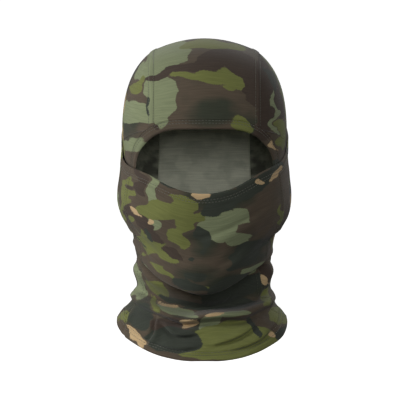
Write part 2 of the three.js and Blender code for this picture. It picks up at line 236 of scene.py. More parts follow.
@dataclass(frozen=True)
class HeadForm:
    """The outside of the hood as it is worn. It is the surface that every hood panel lies on.

    Rows of profile are degrees from the front over the top and the distance from the middle of the head.
    Rows of sections are a height, and the half width and the depths in front and behind there.
    """

    half_width: float = 79.0
    power: float = 2.6
    crown_half_width: float = 51.0
    nape_half_width: float = 43.0
    nape_depth: float = 98.0
    crown_radius: float = 95.0
    first_radius: float = 85.0  # where the search for a point of the hood starts
    rounds: int = 16
    profile: Rows = ((-60, 112), (0, 93), (12, 95), (45, 98), (90, 92), (135, 101), (180, 98), (240, 100))
    sections: Rows = (
        (0, 79, 93, 98), (-20, 77, 94, 94), (-60, 74, 97, 78), (-85, 69, 96, 66), (-105, 61, 88, 60),
        (-130, 61, 70, 57), (-150, 63, 64, 58), (-165, 68, 66, 63), (-180, 79, 72, 71), (-215, 100, 100, 92),
    )

    def strip_half_width(self, y: Array) -> Array:
        """Half the width of the crown strip where it passes the depth y."""
        back = np.clip(y / self.nape_depth, 0, 1)
        return self.crown_half_width + back * (self.nape_half_width - self.crown_half_width)

    def spine(self, station: Array) -> tuple[Array, Array, Array]:
        """Angle over the top in radians, height below the temples, and depth of the strip's middle line.

        Args:
            station: As in seam_point.

        Returns:
            The angle, the height and the depth.
        """
        angle = np.radians(np.minimum(station, 180))
        z = -np.maximum(station - 180, 0)
        depth = np.where(station <= 180, along(self.profile, np.degrees(angle)), along(self.sections, z, 3))
        return angle, z, depth

    def seam_point(self, station: Array) -> Array:
        """Where the left crown seam lies.

        Args:
            station: Degrees from the front over the top, up to 180, and then 180 plus millimetres below
                the level of the temples.

        Returns:
            One point for each station.
        """
        station = np.asarray(station, float)
        over = station <= 180
        angle, z, depth = self.spine(station)
        width = np.where(over, self.half_width, along(self.sections, z, 1))
        x = np.full(station.shape, self.crown_half_width)
        for _ in range(6):
            reach = depth * (1 - (x / width) ** self.power) ** (1 / self.power)
            y = np.where(over, -reach * np.cos(angle), reach)
            x = self.strip_half_width(y)
        return np.stack([x, y, np.where(over, reach * np.sin(angle), z)], axis=-1)

    def strip_point(self, across: Array, station: Array) -> Array:
        """A point of the crown strip, which bulges evenly between its two seams.

        Args:
            across: From -1 at the right seam to 1 at the left seam.
            station: As in seam_point.

        Returns:
            One point for each pair.
        """
        across, station = np.broadcast_arrays(np.asarray(across, float), np.asarray(station, float))
        seam = self.seam_point(station)
        angle, z, depth = self.spine(station)
        middle = np.stack([0 * z, -depth * np.cos(angle), depth * np.sin(angle) + z], axis=-1)
        share = (across**2)[..., None]
        point = middle + (seam - middle) * share
        point[..., 0] = across * seam[..., 0]
        return point

    def scale_to_side(self, points: Array) -> Array:
        """How many times further out than a point the side surface is.

        Args:
            points: Points near the hood.

        Returns:
            A factor for each point.
        """
        x, y, z = np.abs(points[..., 0]), points[..., 1], points[..., 2]
        upright = np.hypot(y, z)
        profile = along(self.profile, np.degrees(np.arctan2(z, -y)))
        dome = (x / self.half_width) ** self.power + (upright / profile) ** self.power
        depth = np.where(y > 0, along(self.sections, z, 3), along(self.sections, z, 2))
        level = (x / along(self.sections, z, 1)) ** self.power + (np.abs(y) / depth) ** self.power
        return np.maximum(np.where(z > 0, dome, level), 1e-9) ** (-1 / self.power)

    def scale_to_strip(self, points: Array) -> Array:
        """How many times further out than a point the crown strip is, above the temples.

        Args:
            points: Points near the hood.

        Returns:
            A factor for each point.
        """
        x, y, z = np.abs(points[..., 0]), points[..., 1], points[..., 2]
        upright = np.hypot(y, z)
        profile = along(self.profile, np.degrees(np.arctan2(z, -y)))
        seam = self.strip_half_width(y)
        drop = profile * (1 - (1 - (seam / self.half_width) ** self.power) ** (1 / self.power))
        bend = np.maximum(drop / seam**2 * x**2, 1e-9)
        return (np.sqrt(upright**2 + 4 * bend * profile) - upright) / (2 * bend)

    def scale(self, points: Array, with_strip: bool = True) -> Array:
        """How many times further out than a point the hood is.

        Args:
            points: Points near the hood.
            with_strip: Whether the crown strip's flatter surface counts.

        Returns:
            A factor for each point.
        """
        side = self.scale_to_side(points)
        if not with_strip:
            return side
        return np.where(points[..., 2] > 0, np.minimum(side, self.scale_to_strip(points)), side)

    def onto(self, points: Array, with_strip: bool = True) -> Array:
        """The points, moved out from the middle of the head onto the hood.

        Args:
            points: Points near the hood.
            with_strip: Whether the crown strip's flatter surface counts, or only the sides' one.

        Returns:
            Points on the hood. Those below the temples keep their height.
        """
        moved = points * self.scale(points, with_strip)[..., None]
        moved[..., 2] = np.where(points[..., 2] > 0, moved[..., 2], points[..., 2])
        return moved

    def at(self, theta: Array, z: Array) -> Array:
        """The point of the hood at an angle from the front, in radians, and a height.

        Args:
            theta: Angles from the front, in radians.
            z: Heights.

        Returns:
            A point for each pair.
        """
        theta, z = np.broadcast_arrays(np.asarray(theta, float), np.asarray(z, float))
        radius = np.full(theta.shape, self.first_radius)
        for _ in range(self.rounds):
            radius = radius * self.scale(round_the_axis(radius, theta, z))
        return round_the_axis(radius, theta, z)


@dataclass(frozen=True)
class Fold:
    """A rounded fold of the neck tube's cloth, with a crease along one side of it.

    Its line runs through three places, each an angle from the front in degrees and a height. The places of
    its ridge and its crease across the line, and the crease's width, are shares of its own width.
    """

    line: Rows
    width: float
    height: float
    crease: float
    ridge_place: float = 0.4
    crease_place: float = -0.75
    crease_width: float = 0.45
    fade: float = 0.6
    per_degree: float = 1.4  # how much cloth lies in one degree round the neck
    points: int = 25

    def push(self, theta: Array, z: Array) -> Array:
        """How far the fold moves the cloth outwards at an angle, in radians, and a height.

        Args:
            theta: Angles from the front, in radians.
            z: Heights.

        Returns:
            A distance for each pair.
        """
        route = through(self.line, self.points) * np.array([self.per_degree, 1.0])
        here = np.stack([np.degrees(theta) * self.per_degree, z], axis=-1)
        best = np.full(theta.shape, 1e9)
        side = np.zeros(theta.shape)
        place = np.zeros(theta.shape)
        for k, (a, b) in enumerate(zip(route[:-1], route[1:])):
            step = b - a
            t = np.clip(((here - a) @ step) / (step @ step), 0, 1)
            away = here - (a + t[..., None] * step)
            distance = np.hypot(away[..., 0], away[..., 1])
            nearer = distance < best
            turn = step[0] * away[..., 1] - step[1] * away[..., 0]
            best = np.where(nearer, distance, best)
            side = np.where(nearer, np.sign(turn), side)
            place = np.where(nearer, (k + t) / (len(route) - 1), place)
        signed = best * side / self.width
        fade = np.sin(np.pi * np.clip(place, 0.02, 0.98)) ** self.fade
        ridge = np.exp(-((signed - self.ridge_place) ** 2))
        valley = np.exp(-(((signed - self.crease_place) / self.crease_width) ** 2))
        return fade * (self.height * ridge - self.crease * valley)


@dataclass(frozen=True)
class Ring:
    """One line round the front of the neck, from ear to ear, that the cloth passes through.

    level is the height that the line would have on cloth pulled smooth. The widths and the depth say how
    far it stands from the upright axis, and rows of an angle and a height say where it really runs. turn
    makes it deeper on the wearer's right than on the left.
    """

    level: float
    right: float
    left: float
    depth: float
    heights: Rows
    turn: float = 0.0

    def radius(self, theta: Array, power: float) -> Array:
        """Distance from the upright axis at an angle.

        Args:
            theta: Angles from the front, in radians.
            power: How square the line is. 2 gives an ellipse.

        Returns:
            A radius for each angle.
        """
        width = np.where(theta < 0, self.right, self.left)
        depth = self.depth - self.turn * np.sin(theta)
        reach = np.abs(np.sin(theta) / width) ** power + np.abs(np.cos(theta) / depth) ** power
        return reach ** (-1 / power)

    def height(self, theta: Array) -> Array:
        """Height at an angle."""
        return along(self.heights, np.degrees(theta))


class Edge(Enum):
    """The two edges of the neck tube. Each value is the way from the edge to its cloth, up or down."""

    TOP = -1
    BOTTOM = 1


@dataclass(frozen=True)
class NeckForm:
    """The outside of the neck tube as it is worn over the hood, with the folds it hangs in.

    Rows of sections are as in HeadForm. Rows of the edges and of the cheek seam give the depth and the
    height, and those of top_lift an angle in degrees and how much higher the top edge is there.
    """

    head: HeadForm
    power: float = 2.35
    layer: float = 1.6
    sewn_layer: float = 0.3  # how far outside the hood the cloth is where it is sewn to the back strip
    sewn_reach: float = 16.0  # how far from that seam it stands free
    sewn_gap: float = 1.0  # how far short of that seam it is cut
    over_hood: tuple[float, float] = (0.75, 0.5)  # cosines of the angles where it comes to lie on the hood
    sections: Rows = (
        (0, 80.4, 104, 99.6), (-20, 80.0, 111, 95.6), (-39, 82, 116, 88.3), (-60, 84, 115.5, 79.6),
        (-75, 80.5, 113.5, 71.5), (-87, 74, 111.5, 67), (-110, 66, 108, 60.8), (-127, 65.5, 104, 58.8),
        (-139, 66, 92, 58.8), (-150, 66, 74, 59.8), (-165, 70, 69, 64.6), (-180, 81, 76, 72.6),
        (-195, 92, 87, 82.8), (-215, 104, 101, 94.8),
    )
    top_edge: Rows = ((-140, -50), (-116, -40), (-90, -28), (-45, -19), (0, 0), (45, 13), (130, 26))
    bottom_edge: Rows = (
        (-130, -226), (-95, -205), (-60, -190), (0, -179), (60, -189), (90, -203), (130, -227),
    )
    top_lift: Rows = (
        (-120, -6), (-90, -10), (-76, -8), (-60, -2), (-40, 2.5), (-22, 3.5), (0, 0), (22, 4.5), (42, 5),
        (60, 2), (76, -3), (90, -6), (120, -6),
    )
    cheek_seam: Rows = ((-66, 60), (-63, -20), (-59, -85), (-46, -122), (-26, -155), (-20, -230))
    ring_power: float = 2.2
    rings: Sequence[Ring] = ()
    rings_start: float = 14.0  # height above the first ring over which they set in
    rings_end: float = 12.0  # and below the last one, over which they end
    rings_sides: tuple[float, float] = (112.0, 82.0)  # angles from nothing of them to all of them
    folds: Sequence[Fold] = ()
    settling: tuple[float, float] = (-115.0, -155.0)  # heights over which the strip meets the tube
    settled_gap: float = 0.1
    ripple: float = 1.0
    low: float = -240.0
    high: float = 60.0

    @cached_property
    def hood_table(self) -> Array:
        """The hood's radius, degree by degree round half of it and millimetre by millimetre of height.

        Returns:
            A row for each degree and a column for each millimetre.
        """
        heights = np.arange(self.low, self.high + 1)
        theta, z = np.meshgrid(np.radians(np.arange(181)), heights, indexing="ij")
        return np.hypot(*np.moveaxis(self.head.at(theta, z)[..., :2], -1, 0))

    def hood_radius(self, theta: Array, z: Array) -> Array:
        """The hood's radius, read from its table.

        Args:
            theta: Angles from the front, in radians.
            z: Heights.

        Returns:
            A radius for each pair.
        """
        a = np.clip(np.abs(np.degrees(within_half_turn(theta))), 0, 179.99)
        h = np.clip(z - self.low, 0, self.high - self.low - 0.01)
        i, j = a.astype(int), h.astype(int)
        u, v = a - i, h - j
        t = self.hood_table
        low = t[i, j] * (1 - u) + t[i + 1, j] * u
        return low * (1 - v) + (t[i, j + 1] * (1 - u) + t[i + 1, j + 1] * u) * v

    def radius(self, theta: Array, z: Array) -> Array:
        """Distance of the tube from the upright axis, before its folds.

        Args:
            theta: Angles from the front, in radians.
            z: Heights.

        Returns:
            A radius for each pair.
        """
        low = np.minimum(z, 0)
        width = along(self.sections, low, 1)
        depth = np.where(np.cos(theta) > 0, along(self.sections, low, 2), along(self.sections, low, 3))
        own = (np.abs(np.sin(theta) / width) ** self.power + np.abs(np.cos(theta) / depth) ** self.power)
        own = own ** (-1 / self.power)
        hood = self.hood_radius(theta, z)
        behind = smoothstep(*self.over_hood, np.cos(theta))
        free = self.free(theta, z)
        outer = np.maximum(np.where(z < 0, own, 0), hood + self.layer)
        outer = hood + self.sewn_layer + free * (outer - hood - self.sewn_layer)
        return own + behind * (outer - own)

    def free(self, theta: Array, z: Array) -> Array:
        """How free the cloth is of the back strip, from 0 on it to 1 well ahead of it."""
        ahead = (self.strip_angle(z) - np.abs(within_half_turn(theta))) * self.hood_radius(theta, z)
        return smoothstep(0, self.sewn_reach, ahead)

    def gathered(self, theta: Array, z: Array, radius: Array) -> tuple[Array, Array]:
        """Radius and height once the neck has sunk into its rings of folds.

        Args:
            theta: Angles from the front, in radians.
            z: Heights on cloth pulled smooth.
            radius: Radii on cloth pulled smooth.

        Returns:
            The radius and the height.
        """
        levels = np.array([ring.level for ring in self.rings])
        theta = within_half_turn(theta)
        radii = np.stack([ring.radius(theta, self.ring_power) for ring in self.rings])
        heights = np.stack([ring.height(theta) for ring in self.rings])
        at = np.clip(z, levels[-1], levels[0])
        i = np.clip(np.searchsorted(-levels, -at, side="right") - 1, 0, len(levels) - 2)
        span = levels[i + 1] - levels[i]
        result = []
        for values in (radii, heights):
            slope = slopes(levels, values)
            start, leave = (np.take_along_axis(rows, i[None], 0)[0] for rows in (values, slope))
            end, arrive = (np.take_along_axis(rows, i[None] + 1, 0)[0] for rows in (values, slope))
            result.append(ease((at - levels[i]) / span, start, end, leave * span, arrive * span))
        above = smoothstep(levels[0] + self.rings_start, levels[0], z)
        below = smoothstep(levels[-1] - self.rings_end, levels[-1], z)
        weight = above * below * smoothstep(*self.rings_sides, np.abs(np.degrees(theta)))
        return radius + weight * (result[0] - radius), z + weight * (result[1] - at)

    def at(self, theta: Array, z: Array) -> Array:
        """The point of the tube that the folds carry from an angle, in radians, and a height.

        Args:
            theta: Angles from the front, in radians.
            z: Heights.

        Returns:
            A point for each pair.
        """
        theta, z = np.broadcast_arrays(np.asarray(theta, float), np.asarray(z, float))
        radius, height = self.gathered(theta, z, self.radius(theta, z))
        for fold in self.folds:
            radius = radius + fold.push(theta, z)
        point = round_the_axis(radius, theta, height)
        ripple = self.ripple * (0.7 * noise(point, 26, 3) + 0.3 * noise(point, 12, 4)) * self.free(theta, z)
        point[..., :2] *= (1 + ripple / np.maximum(radius, 1))[..., None]
        return point

    def settled(self, points: Array) -> Array:
        """Points of the back strip, moved out to the tube below the nape.

        Args:
            points: Points of the strip or close beside it.

        Returns:
            The points in their new places.
        """
        theta = np.arctan2(points[..., 0], -points[..., 1])
        radius = np.hypot(points[..., 0], points[..., 1])
        low = smoothstep(*self.settling, points[..., 2]) * (points[..., 1] > 0)
        goal = self.hood_radius(theta, points[..., 2]) - self.settled_gap
        moved = points.copy()
        moved[..., :2] *= (1 + low * (goal / np.maximum(radius, 1) - 1))[..., None]
        return moved

    def edge_height(self, edge: Edge, columns: Columns, count: int, sign: int = 1) -> Array:
        """Height of an edge of the tube along columns that may lean.

        Args:
            edge: Which edge.
            columns: The angle of each column at a height.
            count: How many columns there are.
            sign: -1 where the columns are to be mirrored.

        Returns:
            The height at which each column meets the edge.
        """
        rows = self.top_edge if edge is Edge.TOP else self.bottom_edge
        z = np.full(count, float(np.mean([row[1] for row in rows])))
        for _ in range(24):
            angle = columns(z)
            meets = along(rows, -self.radius(angle, z) * np.cos(angle))
            if edge is Edge.TOP:
                meets = meets + along(self.top_lift, np.degrees(sign * angle))
            z = 0.5 * z + 0.5 * meets
        return z

    @cached_property
    def seam_table(self) -> tuple[Array, Array]:
        """Heights, and the angles from the front of the left cheek seam there.

        Returns:
            The heights, and the angles in radians.
        """
        z = np.arange(self.low, self.high + 1)
        depths, heights = np.array(self.cheek_seam[::-1]).T
        y = np.interp(z, heights, depths)
        theta = np.full(z.shape, 0.8)
        for _ in range(30):
            theta = 0.5 * theta + 0.5 * np.arccos(np.clip(-y / self.radius(theta, z), -1, 1))
        return z, theta

    def seam_angle(self, z: Array) -> Array:
        """Angle from the front of the left cheek seam at a height."""
        return np.interp(z, *self.seam_table)

    @cached_property
    def strip_table(self) -> tuple[Array, Array]:
        """Heights, and the angles from the front of the left edge of the back strip there.

        Returns:
            The heights, and the angles in radians.
        """
        stations = np.concatenate([np.linspace(120, 180, 40), np.linspace(182, 400, 60)])
        seam = self.head.seam_point(stations)
        order = np.argsort(seam[:, 2])
        return seam[order, 2], np.arctan2(seam[:, 0] + self.sewn_gap, -seam[:, 1])[order]

    def strip_angle(self, z: Array) -> Array:
        """Angle from the front of the left edge of the back strip at a height."""
        return np.interp(z, *self.strip_table)


# ---- The print ----------------------------------------------------------------------------------


class Dye(Enum):
    """The colours of the print, from the ground up. Each value is its sRGB colour, from 0 to 255."""

    EARTH = (72, 63, 52)
    SHADE = (47, 50, 40)
    SAGE = (107, 114, 86)
    LEAF = (93, 97, 53)
    BARK = (57, 48, 41)
    PINE = (47, 51, 44)
    SAND = (163, 140, 105)


@dataclass(frozen=True)
class Patch:
    """One patch of colour, placed as the front of the garment is looked at.

    x is to the wearer's left and up is the height in the view, both of the patch's middle. long and
    high are half its length and half its height, and tilt lifts its +X end, in degrees.
    """

    dye: Dye
    x: float
    up: float
    long: float
    high: float
    tilt: float = 0.0

    def depth_at(self, x: Array, up: Array) -> Array:
        """How far inside the patch each place is, roughly, and less than 0 outside.

        Args:
            x: Places to the wearer's left.
            up: Their heights in the view.

        Returns:
            A distance for each place.
        """
        c, s = math.cos(math.radians(self.tilt)), math.sin(math.radians(self.tilt))
        a = (x - self.x) * c + (up - self.up) * s
        b = (up - self.up) * c - (x - self.x) * s
        reach = np.hypot(a / self.long, b / self.high)
        return (1 - reach) * (0.5 * min(self.long, self.high) + 0.5 * math.sqrt(self.long * self.high))


def patches(dye: Dye, *rows: Sequence[float]) -> list[Patch]:
    """One patch for each row of x, up, long, high and tilt."""
    return [Patch(dye, *row) for row in rows]


FRONT_PATCHES: list[Patch] = [
    # the crown strip and the front of the hood's sides
    *patches(Dye.SAGE, (-41, 70, 15, 19), (-41, 33, 14, 27), (-30, 81, 17, 9), (-72, 22, 11, 26, 80)),
    *patches(Dye.SAGE, (62, 26, 4.5, 27, 13), (-62, 62, 9, 12, 50), (-70, -10, 7, 13, 80)),
    *patches(Dye.LEAF, (14, 87, 36, 6), (38, 8, 14, 6, -35), (9, 57, 21, 9), (31, 51, 19, 7, -15)),
    *patches(Dye.LEAF, (-14, 55, 15, 3), (-61, 45, 6, 6), (-57, 53, 4, 5), (75, 38, 3, 7), (75, 2, 5, 16)),
    *patches(Dye.LEAF, (22, 46, 7, 2, -10), (31, 75, 12, 3, -20), (49, 60, 7, 4, -35)),
    *patches(Dye.BARK, (-39, 56, 15, 3.5, 10), (-18, 64, 17, 6, 12), (8, 72, 20, 9, 18)),
    *patches(Dye.BARK, (34, 69, 20, 12, -20), (47, 48, 12, 22, 10), (-47, 7, 4, 2.5), (56, 60, 8, 24)),
    *patches(Dye.BARK, (71, 34, 6, 20, 15), (57, 14, 7, 22)),
    *patches(Dye.PINE, (-54, 31, 2.5, 5), (-54, 22, 2, 5), (62, 55, 4, 14, 20)),
    *patches(Dye.SAND, (66, -12, 5.5, 2.2, -55)),
    # the face cover
    *patches(Dye.SAGE, (-50, -55, 6, 21), (13, -86, 20, 18), (32, -76, 12, 8), (44, -127, 13, 3, 32)),
    *patches(Dye.SAGE, (30, -98, 12, 6), (-52, -86, 5, 12, 70)),
    *patches(Dye.LEAF, (-44, -72, 18, 11), (-24, -67, 17, 8), (-20, -82, 10, 12), (-51, -104, 12, 12, -30)),
    *patches(Dye.LEAF, (-38, -114, 11, 5, -30), (-25, -98, 9, 10, 30), (-38, -130, 13, 2.6, -32)),
    *patches(Dye.LEAF, (-8, -146, 13, 3), (-73, -52, 4, 12), (-74, -72, 5, 10), (66, -98, 6, 5, 30)),
    *patches(Dye.LEAF, (-2, -74, 12, 3, 24), (74, -76, 3, 10)),
    *patches(Dye.BARK, (-63, -42, 6, 15), (-64, -78, 13, 5, -50), (-50, -93, 14, 4, -40)),
    *patches(Dye.BARK, (-32, -112, 10, 4, -32)),
    *patches(Dye.PINE, (-28, -48, 20, 4.5, -18), (20, -61, 20, 9, 20), (45, -49, 22, 8, 25)),
    *patches(Dye.PINE, (62, -34, 13, 6, 30), (-3, -97, 6.5, 14, 15), (-13, -116, 4.5, 2.5)),
    *patches(Dye.PINE, (40, -111, 24, 9, 32), (-51, -96, 1.6, 6, 25), (-58, -106, 1.6, 5, 25)),
    *patches(Dye.PINE, (-8, -133, 10, 5), (26, -122, 10, 6, 25), (6, -70, 12, 5, 20)),
    *patches(Dye.SAND, (0, -59, 8, 3.4), (52.8, -42.5, 5, 3.4, 10), (69, -36, 6, 2.8, 55)),
    *patches(Dye.SAND, (-64, -74, 4.6, 3, -50), (-54, -83, 3.6, 2.6)),
    # the neck and the chest flap
    *patches(Dye.SAGE, (-66, -136, 8, 20), (-28, -167, 22, 3.6, -14), (30, -171, 18, 3.4, 6)),
    *patches(Dye.SAGE, (7, -182, 10, 13)),
    *patches(Dye.LEAF, (-43, -146, 15, 6.5, -32), (62, -154, 5, 9), (-80, -175, 8, 6), (32, -196, 44, 17)),
    *patches(Dye.LEAF, (2, -208, 30, 6), (74, -172, 9, 8, -40), (-50, -160, 10, 3, -60)),
    *patches(Dye.BARK, (57, -130, 8, 9), (-32, -183, 20, 10)),
    # the second pine patch, under the right of the chin where its shadow falls, is painted shade
    *patches(Dye.PINE, (-15, -143, 18, 5, -18), (28, -146, 30, 11, 15), (-30, -196, 28, 12)),
    *patches(Dye.PINE, (-60, -174, 10, 14), (48, -184, 4, 10, 25), (72, -188, 9, 4, 50)),
    # these two pine patches fill the dark hollow below the roll, above the ridge's crest: painted shade
    *patches(Dye.PINE, (18, -161, 42, 5, 3), (-22, -157, 22, 3.6, -12)),
    *patches(Dye.SAND, (-37, -161, 9, 2.4, -12), (9, -170.5, 9, 2.6), (-12, -180, 9, 4, 20)),
    *patches(Dye.SAND, (-67, -192, 12, 4, -52), (55, -138, 7, 2.6, -30), (64, -189, 4, 4.5, 30)),
]

GROUND_SHADES: list[Patch] = patches(
    Dye.SHADE,
    (10, 22, 24, 12), (46, 6, 14, 14), (60, 40, 12, 20), (-72, 12, 8, 16), (40, -112, 24, 12, 30),
    (-6, -132, 16, 7), (30, -145, 36, 12), (-24, -190, 30, 18), (14, -60, 30, 12), (0, -102, 14, 12),
    (-66, -168, 12, 14),
)


@dataclass(frozen=True)
class WoodlandPrint:
    """A woodland-style print. The front is laid out patch by patch, and the rest follows the same scale.

    levels are the noise above which each colour shows, away from the front. A patch's edge wanders by
    sideways and upright, and the roll's by bend. reach is as far as a distance from an edge is told.
    """

    view_tilt: float = 8.0
    levels: tuple[tuple[Dye, float], ...] = (
        (Dye.SAGE, 0.14), (Dye.LEAF, 0.18), (Dye.BARK, 0.24), (Dye.PINE, 0.32), (Dye.SAND, 0.72),
    )
    sideways: float = 6.0
    upright: float = 3.8
    front_edge: tuple[float, float] = (0.03, 0.2)
    roll_size: float = 40.0
    bend: float = 9.0
    contrast: float = 11.0
    reach: float = 6.0

    def laid(self, patches_there: Sequence[Patch], x: Array, up: Array) -> Array:
        """How far inside the nearest of some patches each place in the front view is."""
        return np.max([patch.depth_at(x, up) for patch in patches_there], axis=0, initial=-20.0)

    def rolled(self, roll: Array, number: int, dye: Dye, level: float) -> Array:
        """How far inside a colour of the roll of cloth each place is.

        Args:
            roll: Places on the roll.
            number: The colour's number, which picks its noise.
            dye: The colour.
            level: The noise above which it shows.

        Returns:
            A distance for each place, and less than 0 outside.
        """
        size = self.roll_size * (0.5 if dye is Dye.SAND else 1)
        large = noise(roll, size, 31 + 7 * number)
        return (large + 0.45 * noise(roll, self.roll_size * 0.42, 32 + 7 * number) - level) * self.contrast

    def fields(self, points: Array, normals: Array, shift: float) -> dict[str, Array]:
        """What the material needs to colour each place.

        Args:
            points: Places on the unfolded garment.
            normals: Outward normals there.
            shift: How far along the roll of cloth the panel was cut, so that the print breaks at seams.

        Returns:
            For each dye the distance inside its nearest patch, and for the ground its share of shade.
        """
        tilt = math.radians(self.view_tilt)
        flat = points * np.array([0.6, 0.6, 1.7])
        warp = [noise(flat, 17, seed) + 0.45 * noise(flat, 7, seed + 5) for seed in (11, 12)]
        x = points[..., 0] + self.sideways * warp[0]
        up = points[..., 1] * math.sin(tilt) + points[..., 2] * math.cos(tilt) + self.upright * warp[1]
        facing = -normals[..., 1] * math.cos(tilt) + normals[..., 2] * math.sin(tilt)
        front = smoothstep(*self.front_edge, facing)
        turned = points @ np.array([[0.80, 0.36, -0.48], [-0.60, 0.48, -0.64], [0.0, 0.80, 0.60]])
        bend = np.stack([noise(points, 24, seed) for seed in (13, 14, 15)], axis=-1)
        upwards = 0.3 * points * np.array([0.0, 0.0, 1.0])
        roll = turned * np.array([0.85, 0.85, 1.0]) + self.bend * bend + shift + upwards
        found = {}
        for number, (dye, level) in enumerate(self.levels):
            laid = self.laid([patch for patch in FRONT_PATCHES if patch.dye is dye], x, up)
            rolled = self.rolled(roll, number, dye, level)
            laid, rolled = (np.clip(field, -self.reach, self.reach) for field in (laid, rolled))
            found[dye.name.lower()] = front * laid + (1 - front) * rolled
        laid = np.clip(0.5 + self.laid(GROUND_SHADES, x, up) / 9, 0, 1)
        rolled = np.clip(0.5 + 1.4 * noise(roll, 34, 90), 0, 1)
        found["shade"] = np.clip(laid * front + (1 - front) * rolled + 0.25 * noise(points, 9, 91), 0, 1)
        return found


# ---- Finishes -----------------------------------------------------------------------------------


def linear(colour: Sequence[float]) -> tuple[float, float, float, float]:
    """An sRGB colour from 0 to 255 as a linear colour with full alpha."""
    parts = [c / 255 for c in colour]
    return (*[p / 12.92 if p <= 0.04045 else ((p + 0.055) / 1.055) ** 2.4 for p in parts], 1.0)


class Wiring:
    """A short way to add and join nodes of one material."""

    def __init__(self, name: str) -> None:
        """Starts an empty material of that name.

        Args:
            name: The material's name.
        """
        self.material = bpy.data.materials.new(name)
        self.material.use_nodes = True
        self.tree = self.material.node_tree
        self.tree.nodes.clear()

    def add(self, kind: str, inputs: dict | None = None, **settings: object) -> bpy.types.Node:
        """Adds a node.

        Args:
            kind: The node's type, without its ShaderNode prefix.
            inputs: For each input's name or number, a value or the output that feeds it.
            settings: The node's own properties.

        Returns:
            The node.
        """
        node = self.tree.nodes.new("ShaderNode" + kind)
        for key, value in settings.items():
            setattr(node, key, value)
        for key, value in (inputs or {}).items():
            if isinstance(value, Socket):
                self.tree.links.new(value, node.inputs[key])
            else:
                node.inputs[key].default_value = value
        return node

    def maths(self, operation: str, *values: Feed) -> Socket:
        """The output of a Math node."""
        return self.add("Math", dict(enumerate(values)), operation=operation).outputs[0]

    def mix(self, factor: Feed, below: Feed, above: Feed) -> Socket:
        """The output of a colour Mix node."""
        node = self.add("Mix", {0: factor, 6: below, 7: above}, data_type="RGBA")
        return node.outputs[2]

    def field(self, name: str) -> Socket:
        """A number that the mesh holds at each point."""
        return self.add("Attribute", attribute_name=name).outputs["Fac"]

    def cloth(self) -> Socket:
        """The cloth's own coordinates, in millimetres."""
        return self.add("Attribute", attribute_name="cloth_mm").outputs["Vector"]

    def noise(self, vector: Socket, scale: float, detail: float) -> Socket:
        """The value of a Noise Texture node."""
        return self.add("TexNoise", {"Vector": vector, "Scale": scale, "Detail": detail}).outputs["Fac"]

    def soft_step(self, value: Socket, low: float, high: float) -> Socket:
        """A smooth step from 0 at low to 1 at high."""
        node = self.add("MapRange", {0: value, 1: low, 2: high}, interpolation_type="SMOOTHSTEP")
        return node.outputs[0]

    def total(self, *parts: tuple[Socket, float]) -> Socket:
        """The sum of some outputs, each times its share.

        Args:
            parts: Pairs of an output and its share.

        Returns:
            The sum's output.
        """
        shares = [self.maths("MULTIPLY", value, share) for value, share in parts]
        result = shares[0]
        for share in shares[1:]:
            result = self.maths("ADD", result, share)
        return result

    def finished(
        self, height: Socket | None = None, relief: float = 0.0, strength: float = 0.5, **looks: Feed
    ) -> Material:
        """Ends the material in one shader.

        Args:
            height: The output that raises the surface, if any.
            relief: How high it raises it, in millimetres.
            strength: How strongly that shows.
            looks: The shader's other inputs, with _ for each space.

        Returns:
            The material.
        """
        inputs = {name.replace("_", " "): value for name, value in looks.items()}
        if height is not None:
            bump = self.add("Bump", {"Height": height, "Strength": strength, "Distance": relief * MM})
            inputs["Normal"] = bump.outputs[0]
        shader = self.add("BsdfPrincipled", inputs)
        self.tree.links.new(shader.outputs[0], self.add("OutputMaterial").inputs[0])
        return self.material


@dataclass(frozen=True)
class KnitFinish:
    """The surface of a fine jersey knit: rows of stitches, a matt face, slubs and a little fuzz."""

    wale_pitch: float = 0.85
    course_pitch: float = 1.15
    wobble: float = 1.2
    relief: float = 0.22
    roughness: float = 0.93
    sheen: float = 0.08
    base_tone: float = 0.52
    knit_tone: float = 0.09
    slub_tone: float = 0.62
    fuzz_tone: float = 0.34

    def finish(self, w: Wiring, colour: Socket) -> Material:
        """Gives a colour the knit's relief, mottle and sheen.

        Args:
            w: The material so far.
            colour: Its colour, before the knit.

        Returns:
            The finished material.
        """
        cloth = w.cloth()
        split = w.add("SeparateXYZ", {0: cloth})
        wobble = w.maths("MULTIPLY", w.noise(cloth, 0.35, detail=2), self.wobble)
        across = w.maths("ADD", split.outputs[0], wobble)
        wales = w.maths("SINE", w.maths("MULTIPLY", across, 2 * math.pi / self.wale_pitch))
        courses = w.maths("SINE", w.maths("MULTIPLY", split.outputs[1], 2 * math.pi / self.course_pitch))
        knit = w.total((wales, 0.45), (courses, 0.55))
        fuzz = w.noise(cloth, 1.7, detail=3)
        drawn_out = w.add("Mapping", {"Vector": cloth, "Scale": (0.045, 0.75, 1.0)}).outputs[0]
        slub = w.noise(drawn_out, 1.0, detail=2)
        tone = w.total((knit, self.knit_tone), (slub, self.slub_tone), (fuzz, self.fuzz_tone))
        tone = w.maths("ADD", tone, self.base_tone)
        toned = w.add("VectorMath", {0: colour, "Scale": tone}, operation="SCALE").outputs[0]
        return w.finished(
            w.total((knit, 0.5), (fuzz, 0.8)), self.relief, Base_Color=toned, Roughness=self.roughness,
            Sheen_Weight=self.sheen, Sheen_Roughness=0.45, Specular_IOR_Level=0.18,
        )


